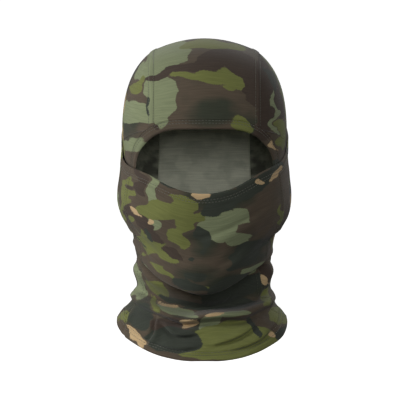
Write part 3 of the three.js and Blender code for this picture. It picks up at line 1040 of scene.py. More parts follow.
@dataclass(frozen=True)
class PrintedCloth:
    """The printed outside of the cloth."""

    knit: KnitFinish = KnitFinish()
    edge_blur: float = 0.35
    edge_fray: float = 2.2

    def material(self) -> Material:
        """Builds the material.

        Returns:
            The material.
        """
        w = Wiring("printed_cloth")
        fray = w.maths("SUBTRACT", w.noise(w.cloth(), 0.55, detail=3), 0.5)
        fray = w.maths("MULTIPLY", fray, self.edge_fray)
        colour = w.mix(w.field("shade"), linear(Dye.EARTH.value), linear(Dye.SHADE.value))
        for dye in (Dye.SAGE, Dye.LEAF, Dye.BARK, Dye.PINE, Dye.SAND):
            inside = w.maths("ADD", w.field(dye.name.lower()), fray)
            shown = w.soft_step(inside, -self.edge_blur, self.edge_blur)
            colour = w.mix(shown, colour, linear(dye.value))
        return self.knit.finish(w, colour)


@dataclass(frozen=True)
class PlainCloth:
    """The unprinted inside of the cloth, through which the print shows as darker patches."""

    name: str = "plain_inside"
    colour: tuple[int, int, int] = (186, 188, 170)
    darkest: float = 0.9
    knit: KnitFinish = KnitFinish(relief=0.3)

    def material(self) -> Material:
        """Builds the material.

        Returns:
            The material.
        """
        w = Wiring(self.name)
        patchy = w.soft_step(w.noise(w.cloth(), 0.06, detail=3), 0.36, 0.6)
        darker = tuple(self.darkest * c for c in self.colour)
        return self.knit.finish(w, w.mix(patchy, linear(darker), linear(self.colour)))


@dataclass(frozen=True)
class Thread:
    """Spun polyester thread, with its twist."""

    colour: tuple[int, int, int] = (50, 50, 40)
    light: tuple[int, int, int] = (72, 72, 58)
    relief: float = 0.1

    def material(self) -> Material:
        """Builds the material.

        Returns:
            The material.
        """
        w = Wiring("sewing_thread")
        strand = w.noise(w.add("TexCoord").outputs["Object"], 900.0, detail=2)
        colour = w.mix(strand, linear(self.colour), linear(self.light))
        return w.finished(strand, self.relief, 0.4, Base_Color=colour, Roughness=0.6, Sheen_Weight=0.2)


@dataclass
class Wardrobe:
    """The materials that the pieces share, and the print that colours the cloth."""

    printed: Material
    plain: Material
    painted_shade_inside: Material
    thread: Material
    pattern: WoodlandPrint

    @classmethod
    def make(cls) -> "Wardrobe":
        """Builds every material once.

        Returns:
            The wardrobe.
        """
        plain = PlainCloth().material()
        # the inside of the hood's sides: painted shade, a darker and more mottled copy of the plain inside
        painted_shade_inside = PlainCloth("plain_inside_of_the_sides_painted_shade", (132, 134, 118), 0.6).material()
        return cls(PrintedCloth().material(), plain, painted_shade_inside, Thread().material(), WoodlandPrint())


# ---- Making pieces ------------------------------------------------------------------------------


def new_piece(name: str, points: Array, faces: list, materials: list[Material]) -> Piece:
    """A smooth-shaded mesh object in the scene.

    Args:
        name: The piece's name.
        points: Its vertices, in millimetres.
        faces: Its faces, as vertex numbers.
        materials: Its materials, in slot order.

    Returns:
        The object.
    """
    mesh = bpy.data.meshes.new(name)
    mesh.from_pydata((points * MM).tolist(), [], faces)
    mesh.update()
    for polygon in mesh.polygons:
        polygon.use_smooth = True
    for material in materials:
        mesh.materials.append(material)
    piece = bpy.data.objects.new(name, mesh)
    bpy.context.scene.collection.objects.link(piece)
    return piece


def write_attributes(piece: Piece, cloth: Array, fields: dict[str, Array]) -> None:
    """Stores the cloth's own coordinates and the print's fields on a piece's vertices.

    Args:
        piece: The piece.
        cloth: Each vertex's place on the flat cloth.
        fields: The print's fields, by name.
    """
    vector = piece.data.attributes.new("cloth_mm", "FLOAT_VECTOR", "POINT")
    vector.data.foreach_set("vector", cloth.astype(np.float32).ravel())
    for name, values in fields.items():
        attribute = piece.data.attributes.new(name, "FLOAT", "POINT")
        attribute.data.foreach_set("value", values.astype(np.float32).ravel())


@dataclass
class ClothGrid:
    """A piece of cloth as a grid of points on its outer face, which is given its thickness here.

    lift and sink are how far the outer and the inner face stand from the grid, at each point. A grid may
    be closed, so that its last column is next to its first. cloth gives each point's place on the flat cloth,
    across and down it, where that isn't along the grid. The last flag gives the inside painted shade: a
    darker copy of the plain inside for the shade within the hood's sides, mottled where the print shows
    through.
    """

    name: str
    grid: Array
    lift: Array | float
    sink: Array | float
    shift: float = 0.0
    closed: bool = False
    cloth: tuple[Array, Array] | None = None
    has_painted_shade_inside: bool = False

    def build(self, wardrobe: Wardrobe, outside: int = 1) -> Piece:
        """Makes the piece.

        Args:
            wardrobe: Materials and print.
            outside: 1 where the grid's normals point out of the garment, and -1 where they point in.

        Returns:
            The object, closed all round.
        """
        rows, columns = self.grid.shape[:2]
        normals = outside * grid_normals(self.grid, self.closed)
        lift = np.broadcast_to(np.asarray(self.lift, float), (rows, columns))[..., None]
        sink = np.broadcast_to(np.asarray(self.sink, float), (rows, columns))[..., None]
        outer = self.grid + normals * lift
        inner = self.grid - normals * sink
        points = np.concatenate([outer.reshape(-1, 3), inner.reshape(-1, 3)])
        number = np.arange(rows * columns).reshape(rows, columns)
        if self.closed:
            number = np.concatenate([number, number[:, :1]], axis=1)
        a, b, c, d = number[:-1, :-1], number[1:, :-1], number[1:, 1:], number[:-1, 1:]
        quads = np.stack([a, b, c, d], axis=-1).reshape(-1, 4)
        if outside < 0:
            quads = quads[:, ::-1]
        back = quads[:, ::-1] + rows * columns
        rim = self._rim(number, rows * columns, outside)
        faces = quads.tolist() + rim + back.tolist()
        # painted shade: the hood's sides take the darker inside, for the shade that falls within them
        back_cloth = wardrobe.painted_shade_inside if self.has_painted_shade_inside else wardrobe.plain
        piece = new_piece(self.name, points, faces, [wardrobe.printed, back_cloth])
        inside = np.zeros(len(faces), np.int32)
        inside[len(quads) + len(rim):] = 1
        piece.data.polygons.foreach_set("material_index", inside)
        across, down = self.cloth or (path_length(self.grid, 1), path_length(self.grid, 0))
        cloth = np.stack([across, down, np.zeros((rows, columns))], axis=-1)
        fields = wardrobe.pattern.fields(self.grid, normals, self.shift)
        both = {key: np.concatenate([value.ravel(), value.ravel()]) for key, value in fields.items()}
        write_attributes(piece, np.concatenate([cloth.reshape(-1, 3)] * 2), both)
        return piece

    def _rim(self, number: Array, offset: int, outside: int) -> list:
        """Faces that join the outer face to the inner face round the cut edges.

        Args:
            number: Vertex numbers of the outer face's points.
            offset: What the inner face adds to them.
            outside: As in build.

        Returns:
            The faces.
        """
        edges = [number[0, ::-1], number[-1, :]]
        if not self.closed:
            edges += [number[:, 0], number[::-1, -1]]
        faces = []
        for edge in edges:
            for i, j in zip(edge[:-1].tolist(), edge[1:].tolist()):
                quad = [j, i, i + offset, j + offset]
                faces.append(quad if outside < 0 else quad[::-1])
        return faces


@dataclass(frozen=True)
class StitchRow:
    """A row of separate stitches along a line on the cloth.

    A row of rings is a place along the stitch, its girth there and how far it stands up, as shares of its
    length and thickness.
    """

    length: float = 2.3
    space: float = 0.9
    thickness: float = 0.48
    sides: int = 6
    rings: Rows = (
        (0.0, 0.25, -0.5), (0.12, 0.8, 0.15), (0.5, 1.0, 0.45), (0.88, 0.8, 0.15), (1.0, 0.25, -0.5),
    )

    def geometry(self, line: Array, normals: Array, closed: bool = False) -> tuple[Array, list]:
        """Vertices and faces of the stitches.

        Args:
            line: Points along the row, close together.
            normals: The cloth's normals there.
            closed: Whether the row ends where it starts.

        Returns:
            The vertices and the faces.
        """
        if closed:
            line = np.concatenate([line, line[:1]])
            normals = np.concatenate([normals, normals[:1]])
        place = path_length(line[:, None], 0)[:, 0]
        count = max(int(place[-1] / (self.length + self.space)), 1)
        pitch = place[-1] / count
        length = pitch * self.length / (self.length + self.space)
        rings = np.array(self.rings)
        starts = np.arange(count) * pitch + 0.5 * (pitch - length)
        at = starts[:, None] + rings[:, 0] * length

        def read(values: Array, where: Array) -> Array:
            """Values along the row, at distances from its start."""
            return np.stack([np.interp(where, place, values[:, k]) for k in range(3)], -1)

        up = unit(read(normals, at))
        aside = unit(np.cross(up, read(line, at + 0.3) - read(line, at - 0.3)))
        centre = read(line, at) + up * (0.5 * self.thickness * rings[:, 2:])
        radius = 0.5 * self.thickness * rings[:, 1][:, None, None]
        turn = (np.arange(self.sides) / self.sides * 2 * np.pi)[:, None]
        round_it = np.cos(turn) * aside[:, :, None] + np.sin(turn) * up[:, :, None]
        points = centre[:, :, None] + radius * round_it
        number = np.arange(points[..., 0].size).reshape(points.shape[:3])
        nxt = np.roll(number, -1, axis=2)
        walls = np.stack([number[:, :-1], nxt[:, :-1], nxt[:, 1:], number[:, 1:]], -1).reshape(-1, 4)
        faces = walls.tolist() + number[:, 0, ::-1].tolist() + number[:, -1].tolist()
        return points.reshape(-1, 3), faces


@dataclass(frozen=True)
class Hem:
    """An edge of cloth that is folded in and sewn down with a twin needle.

    rows are the distances from the folded edge, up to the needles, at which its grid has a row.
    """

    width: float = 10.0
    proud: float = 0.22
    doubled: float = 1.7
    lap: float = 2.5
    fold_round: float = 1.2
    needle_lines: tuple[float, float] = (6.0, 8.6)
    needle_dent: float = 0.22
    dent_width: float = 0.55
    thread_sunk: float = 0.1
    rows: tuple[float, ...] = (0.0, 0.25, 0.7, 1.4, 2.4, 3.6, 4.8, 5.6, 6.2, 7.2, 8.4, 9.0)
    stitch: StitchRow = StitchRow()

    @property
    def cloth_starts(self) -> float:
        """Distance from the folded edge at which the panel's own cloth starts, inside the hem."""
        return self.width - self.lap

    def build(
        self, name: str, surface: Line, wardrobe: Wardrobe,
        outside: int, closed: bool = False, shift: float = 0.0,
    ) -> tuple[Piece, list[Piece]]:
        """Makes the doubled cloth and its two rows of stitching.

        Args:
            name: The hem's name. The rows take theirs from it.
            surface: The line on the garment at a distance from the folded edge.
            wardrobe: Materials and print.
            outside: 1 where the distance axis crossed with the line points out of the garment, or -1.
            closed: Whether the hem goes all the way round.
            shift: Where on the roll the cloth was cut.

        Returns:
            The hem, and its outer and inner row.
        """
        distances = np.array([*self.rows, self.width])
        grid = np.stack([surface(d) for d in distances])
        bulge = smoothstep(0, self.fold_round, distances)
        dents = sum(np.exp(-(((distances - line) / self.dent_width) ** 2)) for line in self.needle_lines)
        lift = -0.5 * self.doubled * (1 - bulge) + self.proud * bulge - self.needle_dent * dents
        sink = (self.doubled * 0.5) * (1 - bulge) + (self.doubled - self.proud) * bulge
        sink = np.where(distances == 0, -lift + 0.02, sink)
        cloth = ClothGrid(name, grid, lift[:, None], sink[:, None], shift, closed)
        piece = cloth.build(wardrobe, outside)
        rows = []
        for row, line in zip(("outer", "inner"), self.needle_lines):
            near = np.stack([surface(line - 0.5), surface(line), surface(line + 0.5)])
            normals = outside * grid_normals(near, closed)[1]
            points = near[1] + normals * (self.proud - self.thread_sunk)
            stitches = self.stitch.geometry(points, normals, closed)
            rows.append(new_piece(f"{name}_{row}_row", *stitches, [wardrobe.thread]))
        return piece, rows


@dataclass(frozen=True)
class FlatSeam:
    """Two cut edges joined flat, with a low rib of cloth and two rows of stitches in its grooves.

    offsets are the places of the rib's rows across it, and groove that of its stitches, as shares of half
    its width.
    """

    width: float = 7.2
    rib: float = 0.6
    sunk: float = 0.1
    offsets: tuple[float, ...] = (-1.25, -1.0, -0.8, -0.6, -0.3, 0.0, 0.3, 0.6, 0.8, 1.0, 1.25)
    slope: tuple[float, float] = (0.75, 1.2)
    groove: float = 0.72
    groove_width: float = 0.16
    groove_depth: float = 0.3
    thread_sunk: float = 0.32
    stitch: StitchRow = StitchRow(length=2.0, space=0.7, thickness=0.5)

    def build(
        self, name: str, surface: Line, wardrobe: Wardrobe, outside: int
    ) -> tuple[Piece, Piece]:
        """Makes the seam.

        Args:
            name: The seam's name.
            surface: The line on the garment at a distance to one side of the seam's middle.
            wardrobe: Materials and print.
            outside: 1 where the distance axis crossed with the line points out of the garment, or -1.

        Returns:
            The rib of cloth, and its threads.
        """
        half = self.width / 2
        offsets = np.array(self.offsets) * half
        grid = np.stack([surface(d) for d in offsets])
        share = np.abs(offsets) / half
        grooves = self.groove_depth * np.exp(-(((share - self.groove) / self.groove_width) ** 2))
        lift = self.rib * (1 - smoothstep(*self.slope, share)) - self.sunk - grooves
        rib = ClothGrid(name, grid, lift[:, None], 0.5).build(wardrobe, outside)
        vertices, faces = [], []
        base = grid_normals(grid) * outside
        for place in (-self.groove * half, self.groove * half):
            normals = base[int(np.argmin(np.abs(offsets - place)))]
            v, f = self.stitch.geometry(surface(place) + normals * (self.rib - self.thread_sunk), normals)
            faces += [[i + len(vertices) for i in face] for face in f]
            vertices += v.tolist()
        return rib, new_piece(f"{name}_threads", np.array(vertices), faces, [wardrobe.thread])


# ---- Sub-assemblies -----------------------------------------------------------------------------


Follow = Callable[[Piece], None]
SIDES = (("left", 1), ("right", -1))


def with_hood(piece: Piece) -> None:
    """Makes a piece follow the hood."""
    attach(piece, HOOD)


def place(piece: Piece, follow: Follow, slot: str, *nodes: str) -> None:
    """Hides the solids that a piece stands for, and makes it follow its body.

    Args:
        piece: The piece.
        follow: Makes a piece follow its body.
        slot: Not used.
        nodes: Names of the solids.
    """
    if nodes:
        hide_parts(*nodes)
    follow(piece)


def place_hem(
    hem: Piece, rows: list[Piece], follow: Follow, name: str, cut: float
) -> None:
    """Places a hem and its two rows of stitching.

    Args:
        hem: The doubled cloth.
        rows: Its outer and inner row.
        follow: Makes a piece follow its body.
        name: What the solids that they stand for are named after.
        cut: Not used.
    """
    place(hem, follow, "hem_cloth", f"{name}_hem")
    for row, which in zip(rows, ("outer", "inner")):
        place(row, follow, "seam_thread", f"{name}_stitch_{which}")
    LOG.info("%s hem", name)


@dataclass
class Hood:
    """The crown strip and the two sides, hemmed round the face opening."""

    form: HeadForm
    neck: NeckForm
    hem: Hem
    seam: FlatSeam
    cloth: float = 0.8
    bottom: float = -105.0
    opening_centre: float = -40.0
    side_middle: tuple[float, float] = (12.0, -12.0)
    strip_columns: int = 49
    strip_length: float = 460.0
    seam_points: int = 330
    brow: tuple[float, float] = (4.0, 60.0)  # stations between which the seams reach the face opening
    nape: tuple[float, float] = (300.0, 395.0)  # and those between which they reach the bottom
    opening: Rows = (
        (0, 19), (19, 17.5), (29, 12), (37, 3), (44, -9), (48, -24), (49, -60), (42, -86), (24, -97),
        (0, -100),
    )
    opening_steps: int = 160

    def opening_line(self, distance: float) -> Array:
        """The closed line round the face opening, at a distance from its folded edge.

        Args:
            distance: Distance outwards from the edge.

        Returns:
            Points from the brow, round the wearer's left side, the chin and the right side.
        """
        half = through(self.opening, self.opening_steps + 1)
        theta = np.radians(np.concatenate([half[:, 0], -half[-2:0:-1, 0]]))
        z = np.concatenate([half[:, 1], half[-2:0:-1, 1]])
        edge = self.form.at(theta, z)
        ahead = np.roll(edge, -1, axis=0) - np.roll(edge, 1, axis=0)
        outwards = unit(np.cross(edge - np.array([0, 0, self.opening_centre]), ahead))
        return self.form.onto(edge + outwards * distance)

    def last_station(self, across: float, distance: float) -> float:
        """Station at which a line down the crown strip is at a distance above the bottom edge.

        Args:
            across: The line's place, as in HeadForm.strip_point.
            distance: The distance.

        Returns:
            The station.
        """
        stations = np.linspace(*self.nape, 200)
        nape = self.form.strip_point(across, stations)
        angle = np.arctan2(nape[:, 0], -nape[:, 1])
        edge = self.neck.edge_height(Edge.BOTTOM, lambda z: angle, angle.size)
        return float(np.interp(0, edge + distance - nape[:, 2], stations))

    def seam_ends(self) -> tuple[float, float]:
        """Stations at which the crown seam meets the face opening's hem and the bottom hem.

        Returns:
            The two stations, the upper one first.
        """
        low = np.linspace(*self.brow, 300)
        ring = self.opening_line(self.hem.width)[: self.opening_steps]
        apart = np.linalg.norm(self.form.seam_point(low)[:, None] - ring[None], axis=-1).min(axis=1)
        return float(low[np.argmin(apart)]), self.last_station(1.0, self.hem.cloth_starts)

    def strip_grid(self, step: float = 2.2) -> tuple[Array, Array]:
        """The crown strip, between the face opening's hem and the bottom hem.

        Args:
            step: Distance between rows.

        Returns:
            The grid, and how far down the strip each point of it is.
        """
        across = np.linspace(-1, 1, self.strip_columns)
        ring = self.opening_line(self.hem.cloth_starts)
        top = ring[ring[:, 2] > -5]
        top = top[np.argsort(top[:, 0])]
        first = np.empty(across.size)
        low = np.linspace(*self.brow, 200)
        for k, a in enumerate(across):
            brow = self.form.strip_point(a, low)
            first[k] = np.interp(0, brow[:, 2] - np.interp(brow[:, 0], top[:, 0], top[:, 2]), low)
        last = np.array([self.last_station(a, self.hem.cloth_starts) for a in across])
        share = np.linspace(0, 1, int(self.strip_length / step))[:, None]
        station = first + (last - first) * share
        down = np.radians(np.minimum(station, 180)) * self.form.crown_radius + np.maximum(station - 180, 0)
        return self.neck.settled(self.form.strip_point(across, station)), down

    def side_grid(self, sign: int, rings: int = 52) -> Array:
        """One side of the hood, as rings of points from its cut edges in to its middle.

        Args:
            sign: 1 for the wearer's left.
            rings: How many rings it has.

        Returns:
            A closed grid. Its last ring is nearly a point.
        """
        line = self.opening_line(self.hem.cloth_starts)[:: 1 if sign > 0 else -1]
        line = mirrored(np.roll(line, 0 if sign > 0 else 1, axis=0)[: self.opening_steps + 1], sign)
        beyond = line[:, 0] >= self.form.strip_half_width(line[:, 1])
        edge = line[int(np.argmax(beyond & (line[:, 2] > -20))):]
        stations = np.linspace(2, 60, 300)
        apart = np.linalg.norm(self.form.seam_point(stations) - edge[0], axis=1)
        seam = self.form.seam_point(np.linspace(stations[np.argmin(apart)], 180 - self.bottom, 190))
        base = self.form.onto(np.linspace(seam[-1], edge[-1], 60)[1:-1], with_strip=False)
        rim = mirrored(np.concatenate([seam, base, edge[::-1]]), sign)
        middle = np.array([sign * self.form.half_width, *self.side_middle])
        share = np.linspace(1, 0.01, rings)[:, None, None]
        grid = self.form.onto(middle + (rim - middle) * share, with_strip=False)
        grid[0] = rim
        return grid

    def build(self, wardrobe: Wardrobe) -> None:
        """Makes every piece of the hood and gives it its place on the frame.

        Args:
            wardrobe: Materials and print.
        """
        grid, down = self.strip_grid()
        cloth = (grid[..., 0], down)
        strip = ClothGrid("crown_strip_cloth", grid, 0.0, self.cloth, cloth=cloth).build(wardrobe, -1)
        place(strip, with_hood, "camo_cloth", "crown_strip")
        LOG.info("crown strip: %d points", len(strip.data.vertices))
        for name, sign in SIDES:
            self.build_side(name, sign, wardrobe)
        hem = self.hem.build("face_opening_hem_cloth", self.opening_line, wardrobe, -1, closed=True)
        place_hem(*hem, with_hood, "face_opening", 0.40)

    def build_side(self, name: str, sign: int, wardrobe: Wardrobe) -> None:
        """Makes one side of the hood and its crown seam.

        Args:
            name: "left" or "right".
            sign: 1 for the wearer's left.
            wardrobe: Materials and print.
        """
        grid = self.side_grid(sign)
        # its inside is painted shade, darker than the crown strip's inside
        side = ClothGrid(
            f"{name}_hood_side_cloth", grid, 0.0, self.cloth, 60.0 * sign,
            closed=True, cloth=(grid[..., 1], grid[..., 2]), has_painted_shade_inside=True,
        ).build(wardrobe, sign)
        place(side, with_hood, "camo_cloth", f"{name}_hood_side")
        line = mirrored(self.form.seam_point(np.linspace(*self.seam_ends(), self.seam_points)), sign)
        outwards = line * np.where(line[:, 2:] > 0, 1, [1, 1, 0])
        aside = sign * unit(np.cross(np.gradient(line, axis=0), unit(outwards)))

        def beside(distance: float) -> Array:
            """The line at a distance from the seam, towards the side."""
            return self.neck.settled(self.form.onto(line + aside * distance))

        rib, threads = self.seam.build(f"{name}_crown_seam_rib", beside, wardrobe, sign)
        place(rib, with_hood, "seam_thread", f"{name}_crown_seam")
        place(threads, with_hood, "seam_thread")
        LOG.info("%s hood side and its crown seam", name)


@dataclass
class NeckTube:
    """The front panel with the face cover, and the two neck sides, worn over the hood."""

    form: NeckForm
    hem: Hem
    seam: FlatSeam
    cloth: float = 0.8
    front_columns: int = 111
    side_columns: int = 81
    panel_height: float = 150.0
    seam_points: int = 150
    hem_points: int = 360
    bend_start: tuple[float, float, float] = (0.0, 0.0, 0.0)
    bend_end: tuple[float, float, float] = (0.0, -0.048, 0.036)

    def bend(self, piece: Piece) -> None:
        """Bakes a piece's transform into its mesh."""
        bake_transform(piece)

    def front_angle(self, share: Array) -> Columns:
        """Angles of columns of the front panel, at a share from the middle to the left seam."""
        return lambda z: share * self.form.seam_angle(z)

    def side_angle(self, share: Array) -> Columns:
        """Angles of columns of the left side, at a share from the cheek seam to the back strip."""
        return lambda z: self.form.seam_angle(z) * (1 - share) + self.form.strip_angle(z) * share

    def grid(self, columns: Columns, count: int, sign: int, step: float = 1.1) -> Array:
        """A panel's points, between its two hems.

        Args:
            columns: The angle of each column at a height.
            count: How many columns there are.
            sign: 1 for the wearer's left, or -1 for its mirror image.
            step: Height of a row.

        Returns:
            The grid, from the top down.
        """
        top = self.form.edge_height(Edge.TOP, columns, count, sign) - self.hem.cloth_starts
        low = self.form.edge_height(Edge.BOTTOM, columns, count, sign) + self.hem.cloth_starts
        share = np.linspace(0, 1, int(self.panel_height / step))[:, None]
        z = top + (low - top) * share
        return self.form.at(sign * columns(z), z)

    def edge_line(
        self, edge: Edge, columns: Columns, count: int, sign: int = 1
    ) -> Line:
        """The line along a hem, at any distance from its folded edge.

        Args:
            edge: Which edge of the tube.
            columns: The angle of each column at a height.
            count: How many columns there are.
            sign: 1 for the wearer's left, or -1 for its mirror image.

        Returns:
            A function from a distance to a line of points.
        """
        height = self.form.edge_height(edge, columns, count, sign)

        def line(distance: float) -> Array:
            """The line at a distance from the edge."""
            z = height + edge.value * distance
            return self.form.at(sign * columns(z), z)

        return line

    def build(self, wardrobe: Wardrobe) -> None:
        """Makes every piece of the neck tube.

        Args:
            wardrobe: Materials and print.
        """
        self.build_front(wardrobe)
        for name, sign in SIDES:
            self.build_side(name, sign, wardrobe)
        self.build_bottom_hem(wardrobe)

    def build_front(self, wardrobe: Wardrobe) -> None:
        """Makes the front panel and the hem along the top of the face cover.

        Args:
            wardrobe: Materials and print.
        """
        share = np.linspace(-1, 1, self.front_columns)
        columns = self.front_angle(share)
        grid = self.grid(columns, share.size, 1)
        front = ClothGrid("front_panel_cloth", grid, 0.0, self.cloth).build(wardrobe, 1)
        place(front, self.bend, "camo_cloth", "face_cover", "chest_panel")
        line = self.edge_line(Edge.TOP, columns, share.size)
        hem = self.hem.build("face_cover_hem_cloth", line, wardrobe, 1)
        place_hem(*hem, self.bend, "face_cover", 0.205)

    def build_side(self, name: str, sign: int, wardrobe: Wardrobe) -> None:
        """Makes one neck side, its top hem and its cheek seam.

        Args:
            name: "left" or "right".
            sign: 1 for the wearer's left.
            wardrobe: Materials and print.
        """
        share = np.linspace(0, 1, self.side_columns)
        columns = self.side_angle(share)
        grid = self.grid(columns, share.size, sign)
        side = ClothGrid(f"{name}_neck_side_cloth", grid, 0.0, self.cloth, 40.0 * sign).build(wardrobe, sign)
        place(side, self.bend, "camo_cloth", f"{name}_neck_side")
        line = self.edge_line(Edge.TOP, columns, share.size, sign)
        hem = self.hem.build(f"{name}_neck_side_hem_cloth", line, wardrobe, sign, shift=40.0 * sign)
        place_hem(*hem, self.bend, f"{name}_neck_side", 0.155)
        top, low = (self.form.edge_height(edge, self.form.seam_angle, 1, sign)[0] for edge in Edge)
        z = np.linspace(top - self.hem.width, low + self.hem.width, self.seam_points)
        angle = self.form.seam_angle(z)

        def beside(distance: float) -> Array:
            """The line at a distance behind the cheek seam."""
            return self.form.at(sign * (angle + distance / self.form.radius(angle, z)), z)

        rib, threads = self.seam.build(f"{name}_cheek_seam_rib", beside, wardrobe, -sign)
        place(rib, self.bend, "seam_thread", f"{name}_cheek_seam")
        place(threads, self.bend, "seam_thread")
        LOG.info("%s neck side and its cheek seam", name)

    def build_bottom_hem(self, wardrobe: Wardrobe) -> None:
        """Makes the hem round the bottom of the whole garment.

        Args:
            wardrobe: Materials and print.
        """
        theta = np.linspace(-np.pi, np.pi, self.hem_points, endpoint=False)
        height = self.form.edge_height(Edge.BOTTOM, lambda z: theta, theta.size)

        def line(distance: float) -> Array:
            """The closed line at a distance above the bottom edge."""
            return self.form.at(theta, height + distance)

        hem = self.hem.build("bottom_hem_cloth", line, wardrobe, -1, closed=True)
        place_hem(*hem, with_hood, "bottom", 0.50)


@dataclass(frozen=True)
class Softbox:
    """A square soft light, in metres and watts, that faces the garment."""

    name: str
    place: tuple[float, float, float]
    size: float
    power: float
    aim: tuple[float, float, float] = (0.0, 0.0, -0.05)

    def build(self) -> None:
        """Makes the light."""
        light = bpy.data.lights.new(self.name, "AREA")
        light.size = self.size
        light.energy = self.power
        holder = bpy.data.objects.new(self.name, light)
        holder.location = self.place
        holder.rotation_euler = (Vector(self.aim) - holder.location).to_track_quat("-Z", "Y").to_euler()
        bpy.context.scene.collection.objects.link(holder)


@dataclass(frozen=True)
class Studio:
    """A pale floor that gives no bounce, soft lights in front, beside and behind, and the camera.

    The floor and the camera are in metres, as the lights are. The surround glows by sky above the horizon
    and by ground below it, and changes from one to the other over horizon.
    """

    distance: float = 12.0
    elevation: float = 8.0
    target: tuple[float, float, float] = (-0.0043, 0.0, -0.0623)
    frame_width: float = 0.384
    sensor: float = 36.0
    floor_drop: float = 0.5
    floor_size: float = 60.0
    floor_glow: float = 0.82
    ground: float = 0.02
    sky: float = 0.26
    horizon: tuple[float, float] = (-0.25, 0.0)
    boxes: tuple[Softbox, ...] = (
        Softbox("key", (-2.3, -1.7, 1.5), 1.0, 56.0),
        Softbox("front", (0.1, -3.0, 0.8), 0.7, 25.0),
        Softbox("fill", (2.2, -1.9, 0.5), 1.0, 14.0),
        Softbox("right_edge", (-2.1, -0.1, 0.1), 1.0, 32.0),
        Softbox("back", (0.8, 2.4, 1.2), 1.2, 26.0),
    )

    def build(self) -> None:
        """Makes the floor, the camera, the lights and the surround."""
        self.build_floor()
        self.build_camera()
        for box in self.boxes:
            box.build()
        self.build_surround()

    def build_floor(self) -> None:
        """Makes a wide pale floor below the garment."""
        low, size = SOLID_BOX[0][2] - self.floor_drop, self.floor_size
        corners = [(-size, -size, low), (size, -size, low), (size, size, low), (-size, size, low)]
        mesh = bpy.data.meshes.new("floor")
        mesh.from_pydata(corners, [], [(0, 1, 2, 3)])
        floor = bpy.data.objects.new("floor", mesh)
        floor.visible_diffuse = False
        floor.visible_glossy = False
        bpy.context.scene.collection.objects.link(floor)
        w = Wiring("pale_floor")
        mesh.materials.append(w.finished(
            Base_Color=(0.9, 0.9, 0.9, 1), Roughness=1.0, Emission_Color=(1, 1, 1, 1),
            Emission_Strength=self.floor_glow,
        ))

    def build_camera(self) -> None:
        """Makes the camera and points it at the garment."""
        camera = bpy.data.cameras.new("camera")
        camera.sensor_width = self.sensor
        camera.lens = self.sensor * self.distance / self.frame_width
        camera.clip_end = 1000.0
        holder = bpy.data.objects.new("camera", camera)
        tilt = math.radians(self.elevation)
        aim = Vector(self.target)
        holder.location = aim + Vector((0, -math.cos(tilt), math.sin(tilt))) * self.distance
        holder.rotation_euler = (aim - holder.location).to_track_quat("-Z", "Y").to_euler()
        bpy.context.scene.collection.objects.link(holder)
        bpy.context.scene.camera = holder

    def build_surround(self) -> None:
        """Makes an even surround, brighter above the horizon than below it."""
        world = bpy.data.worlds.new("surround")
        world.use_nodes = True
        tree = world.node_tree
        direction = tree.nodes.new("ShaderNodeTexCoord").outputs["Generated"]
        split = tree.nodes.new("ShaderNodeSeparateXYZ")
        ramp = tree.nodes.new("ShaderNodeMapRange")
        for k, value in enumerate((*self.horizon, self.ground, self.sky)):
            ramp.inputs[k + 1].default_value = value
        tree.links.new(direction, split.inputs[0])
        tree.links.new(split.outputs[2], ramp.inputs[0])
        tree.links.new(ramp.outputs[0], tree.nodes["Background"].inputs["Strength"])
        tree.nodes["Background"].inputs["Color"].default_value = (1, 1, 1, 1)
        bpy.context.scene.world = world
        bpy.context.scene.view_settings.view_transform = "Standard"


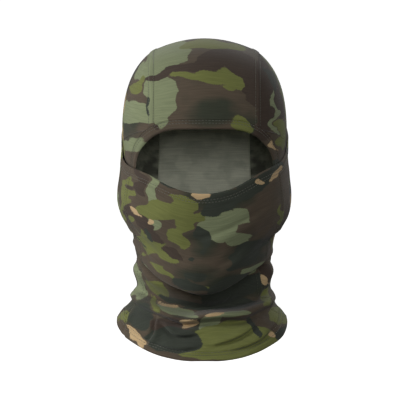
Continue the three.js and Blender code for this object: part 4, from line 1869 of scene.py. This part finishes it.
NECK_RINGS: tuple[Ring, ...] = (
    # the cheek, above the rim of the chin's bag
    Ring(-100, 68, 66, 111, (
        (-90, -98), (-62, -95), (-42, -98), (-25, -106), (0, -114), (22, -106), (42, -97), (62, -96),
        (90, -98),
    )),
    # the rim of the bag
    Ring(-117, 66.5, 64.5, 103.5, (
        (-90, -108), (-64, -108), (-43, -116), (-25, -126.5), (-11, -133.5), (-2, -136.5), (8, -134),
        (18, -127), (32, -118), (50, -112), (64, -110), (90, -108),
    )),
    # where it has turned under
    Ring(-123, 65.5, 63, 95, (
        (-90, -111), (-64, -112), (-43, -120), (-25, -130), (-11, -137), (-2, -140), (8, -137.5),
        (18, -130.5), (32, -121.5), (50, -116), (64, -113.5), (90, -111),
    )),
    # the deepest place behind it
    Ring(-131, 64, 61, 61, (
        (-90, -116), (-64, -117), (-43, -122), (-25, -129), (0, -136), (18, -131), (40, -123), (64, -117),
        (90, -115),
    ), turn=16),
    # the roll of cloth below it
    Ring(-140, 69, 66, 61, (
        (-90, -128), (-62, -128), (-44, -133), (-25, -140), (0, -149), (20, -148), (45, -142), (60, -136),
        (90, -128),
    ), turn=20),
    # the dark hollow below the roll
    Ring(-148, 64.5, 61.5, 48, (
        (-90, -143), (-56, -149), (-35, -155), (-17, -161), (0, -161), (17, -160), (40, -158), (60, -153),
        (90, -147),
    ), turn=4),
    # the crest of the ridge that the skirt hangs from
    Ring(-153, 68, 66, 79, (
        (-90, -148), (-56, -152), (-35, -156.5), (-14, -164), (0, -160.5), (14, -159.5), (27, -159.5),
        (47, -155), (90, -151),
    )),
    # the ridge's face
    Ring(-158, 71.5, 68.5, 83.5, (
        (-90, -152.5), (-56, -156), (-35, -160.5), (-14, -168), (0, -164.5), (14, -163.5), (27, -164),
        (47, -159), (90, -156),
    )),
    # the hollow under the ridge
    Ring(-163, 70, 66.5, 73, (
        (-90, -158), (-56, -162), (-30, -168), (-14, -173), (0, -170.5), (12, -169.5), (27, -170), (48, -165),
        (90, -161),
    )),
    # the skirt
    Ring(-172, 80, 74, 80, (
        (-90, -168), (-45, -171), (-15, -176), (0, -176), (27, -175), (45, -171), (90, -168),
    )),
    Ring(-186, 89, 86, 88, ((-90, -184), (-45, -187), (0, -188), (45, -187), (90, -184))),
    Ring(-204, 97, 96, 96.5, ((-90, -204), (0, -204), (90, -204))),
)

NECK_FOLDS: tuple[Fold, ...] = (
    # the chest flap
    Fold(((-37, -164), (-33, -178), (-36, -190)), 3.4, 3.2, 4.4),
    Fold(((-31, -168), (-18, -178), (-4, -176)), 3.8, 3.6, 4.2),
    Fold(((-28, -188), (-15, -192), (-2, -188)), 3.6, 1.8, 2.0),
    Fold(((4, -188), (20, -181), (42, -168)), 4.0, 3.8, 4.4),
    Fold(((16, -193), (34, -186), (54, -175)), 3.6, 2.6, 3.2),
    Fold(((-68, -165), (-61, -174), (-58, -184)), 3.8, 2.2, 2.6),
    # the face cover, drawn towards the cheeks
    Fold(((36, -56), (14, -78), (-6, -92)), 6.0, 1.4, 1.0),
    Fold(((40, -76), (22, -94), (2, -108)), 6.0, 1.4, 1.0),
    Fold(((-54, -62), (-40, -82), (-20, -98)), 6.0, 1.3, 1.0),
    Fold(((-56, -84), (-42, -98), (-24, -110)), 5.0, 1.2, 1.0),
    # the sides of the neck
    Fold(((-88, -132), (-62, -134), (-42, -142)), 3.8, 2.0, 2.0),
    Fold(((50, -152), (66, -146), (88, -140)), 3.6, 2.4, 2.2),
    Fold(((48, -130), (66, -124), (88, -118)), 3.6, 2.4, 2.2),
    Fold(((-92, -106), (-72, -110), (-54, -118)), 3.6, 1.6, 1.6),
)


def main() -> None:
    """Builds the garment and the studio."""
    logging.basicConfig(level=logging.INFO, format="%(message)s")
    wardrobe = Wardrobe.make()
    head = HeadForm()
    hem = Hem()
    seam = FlatSeam()
    Studio().build()
    neck = NeckForm(head, rings=NECK_RINGS, folds=NECK_FOLDS)
    Hood(head, neck, hem, seam).build(wardrobe)
    NeckTube(neck, hem, seam).build(wardrobe)


if __name__ == "__main__":
    main()
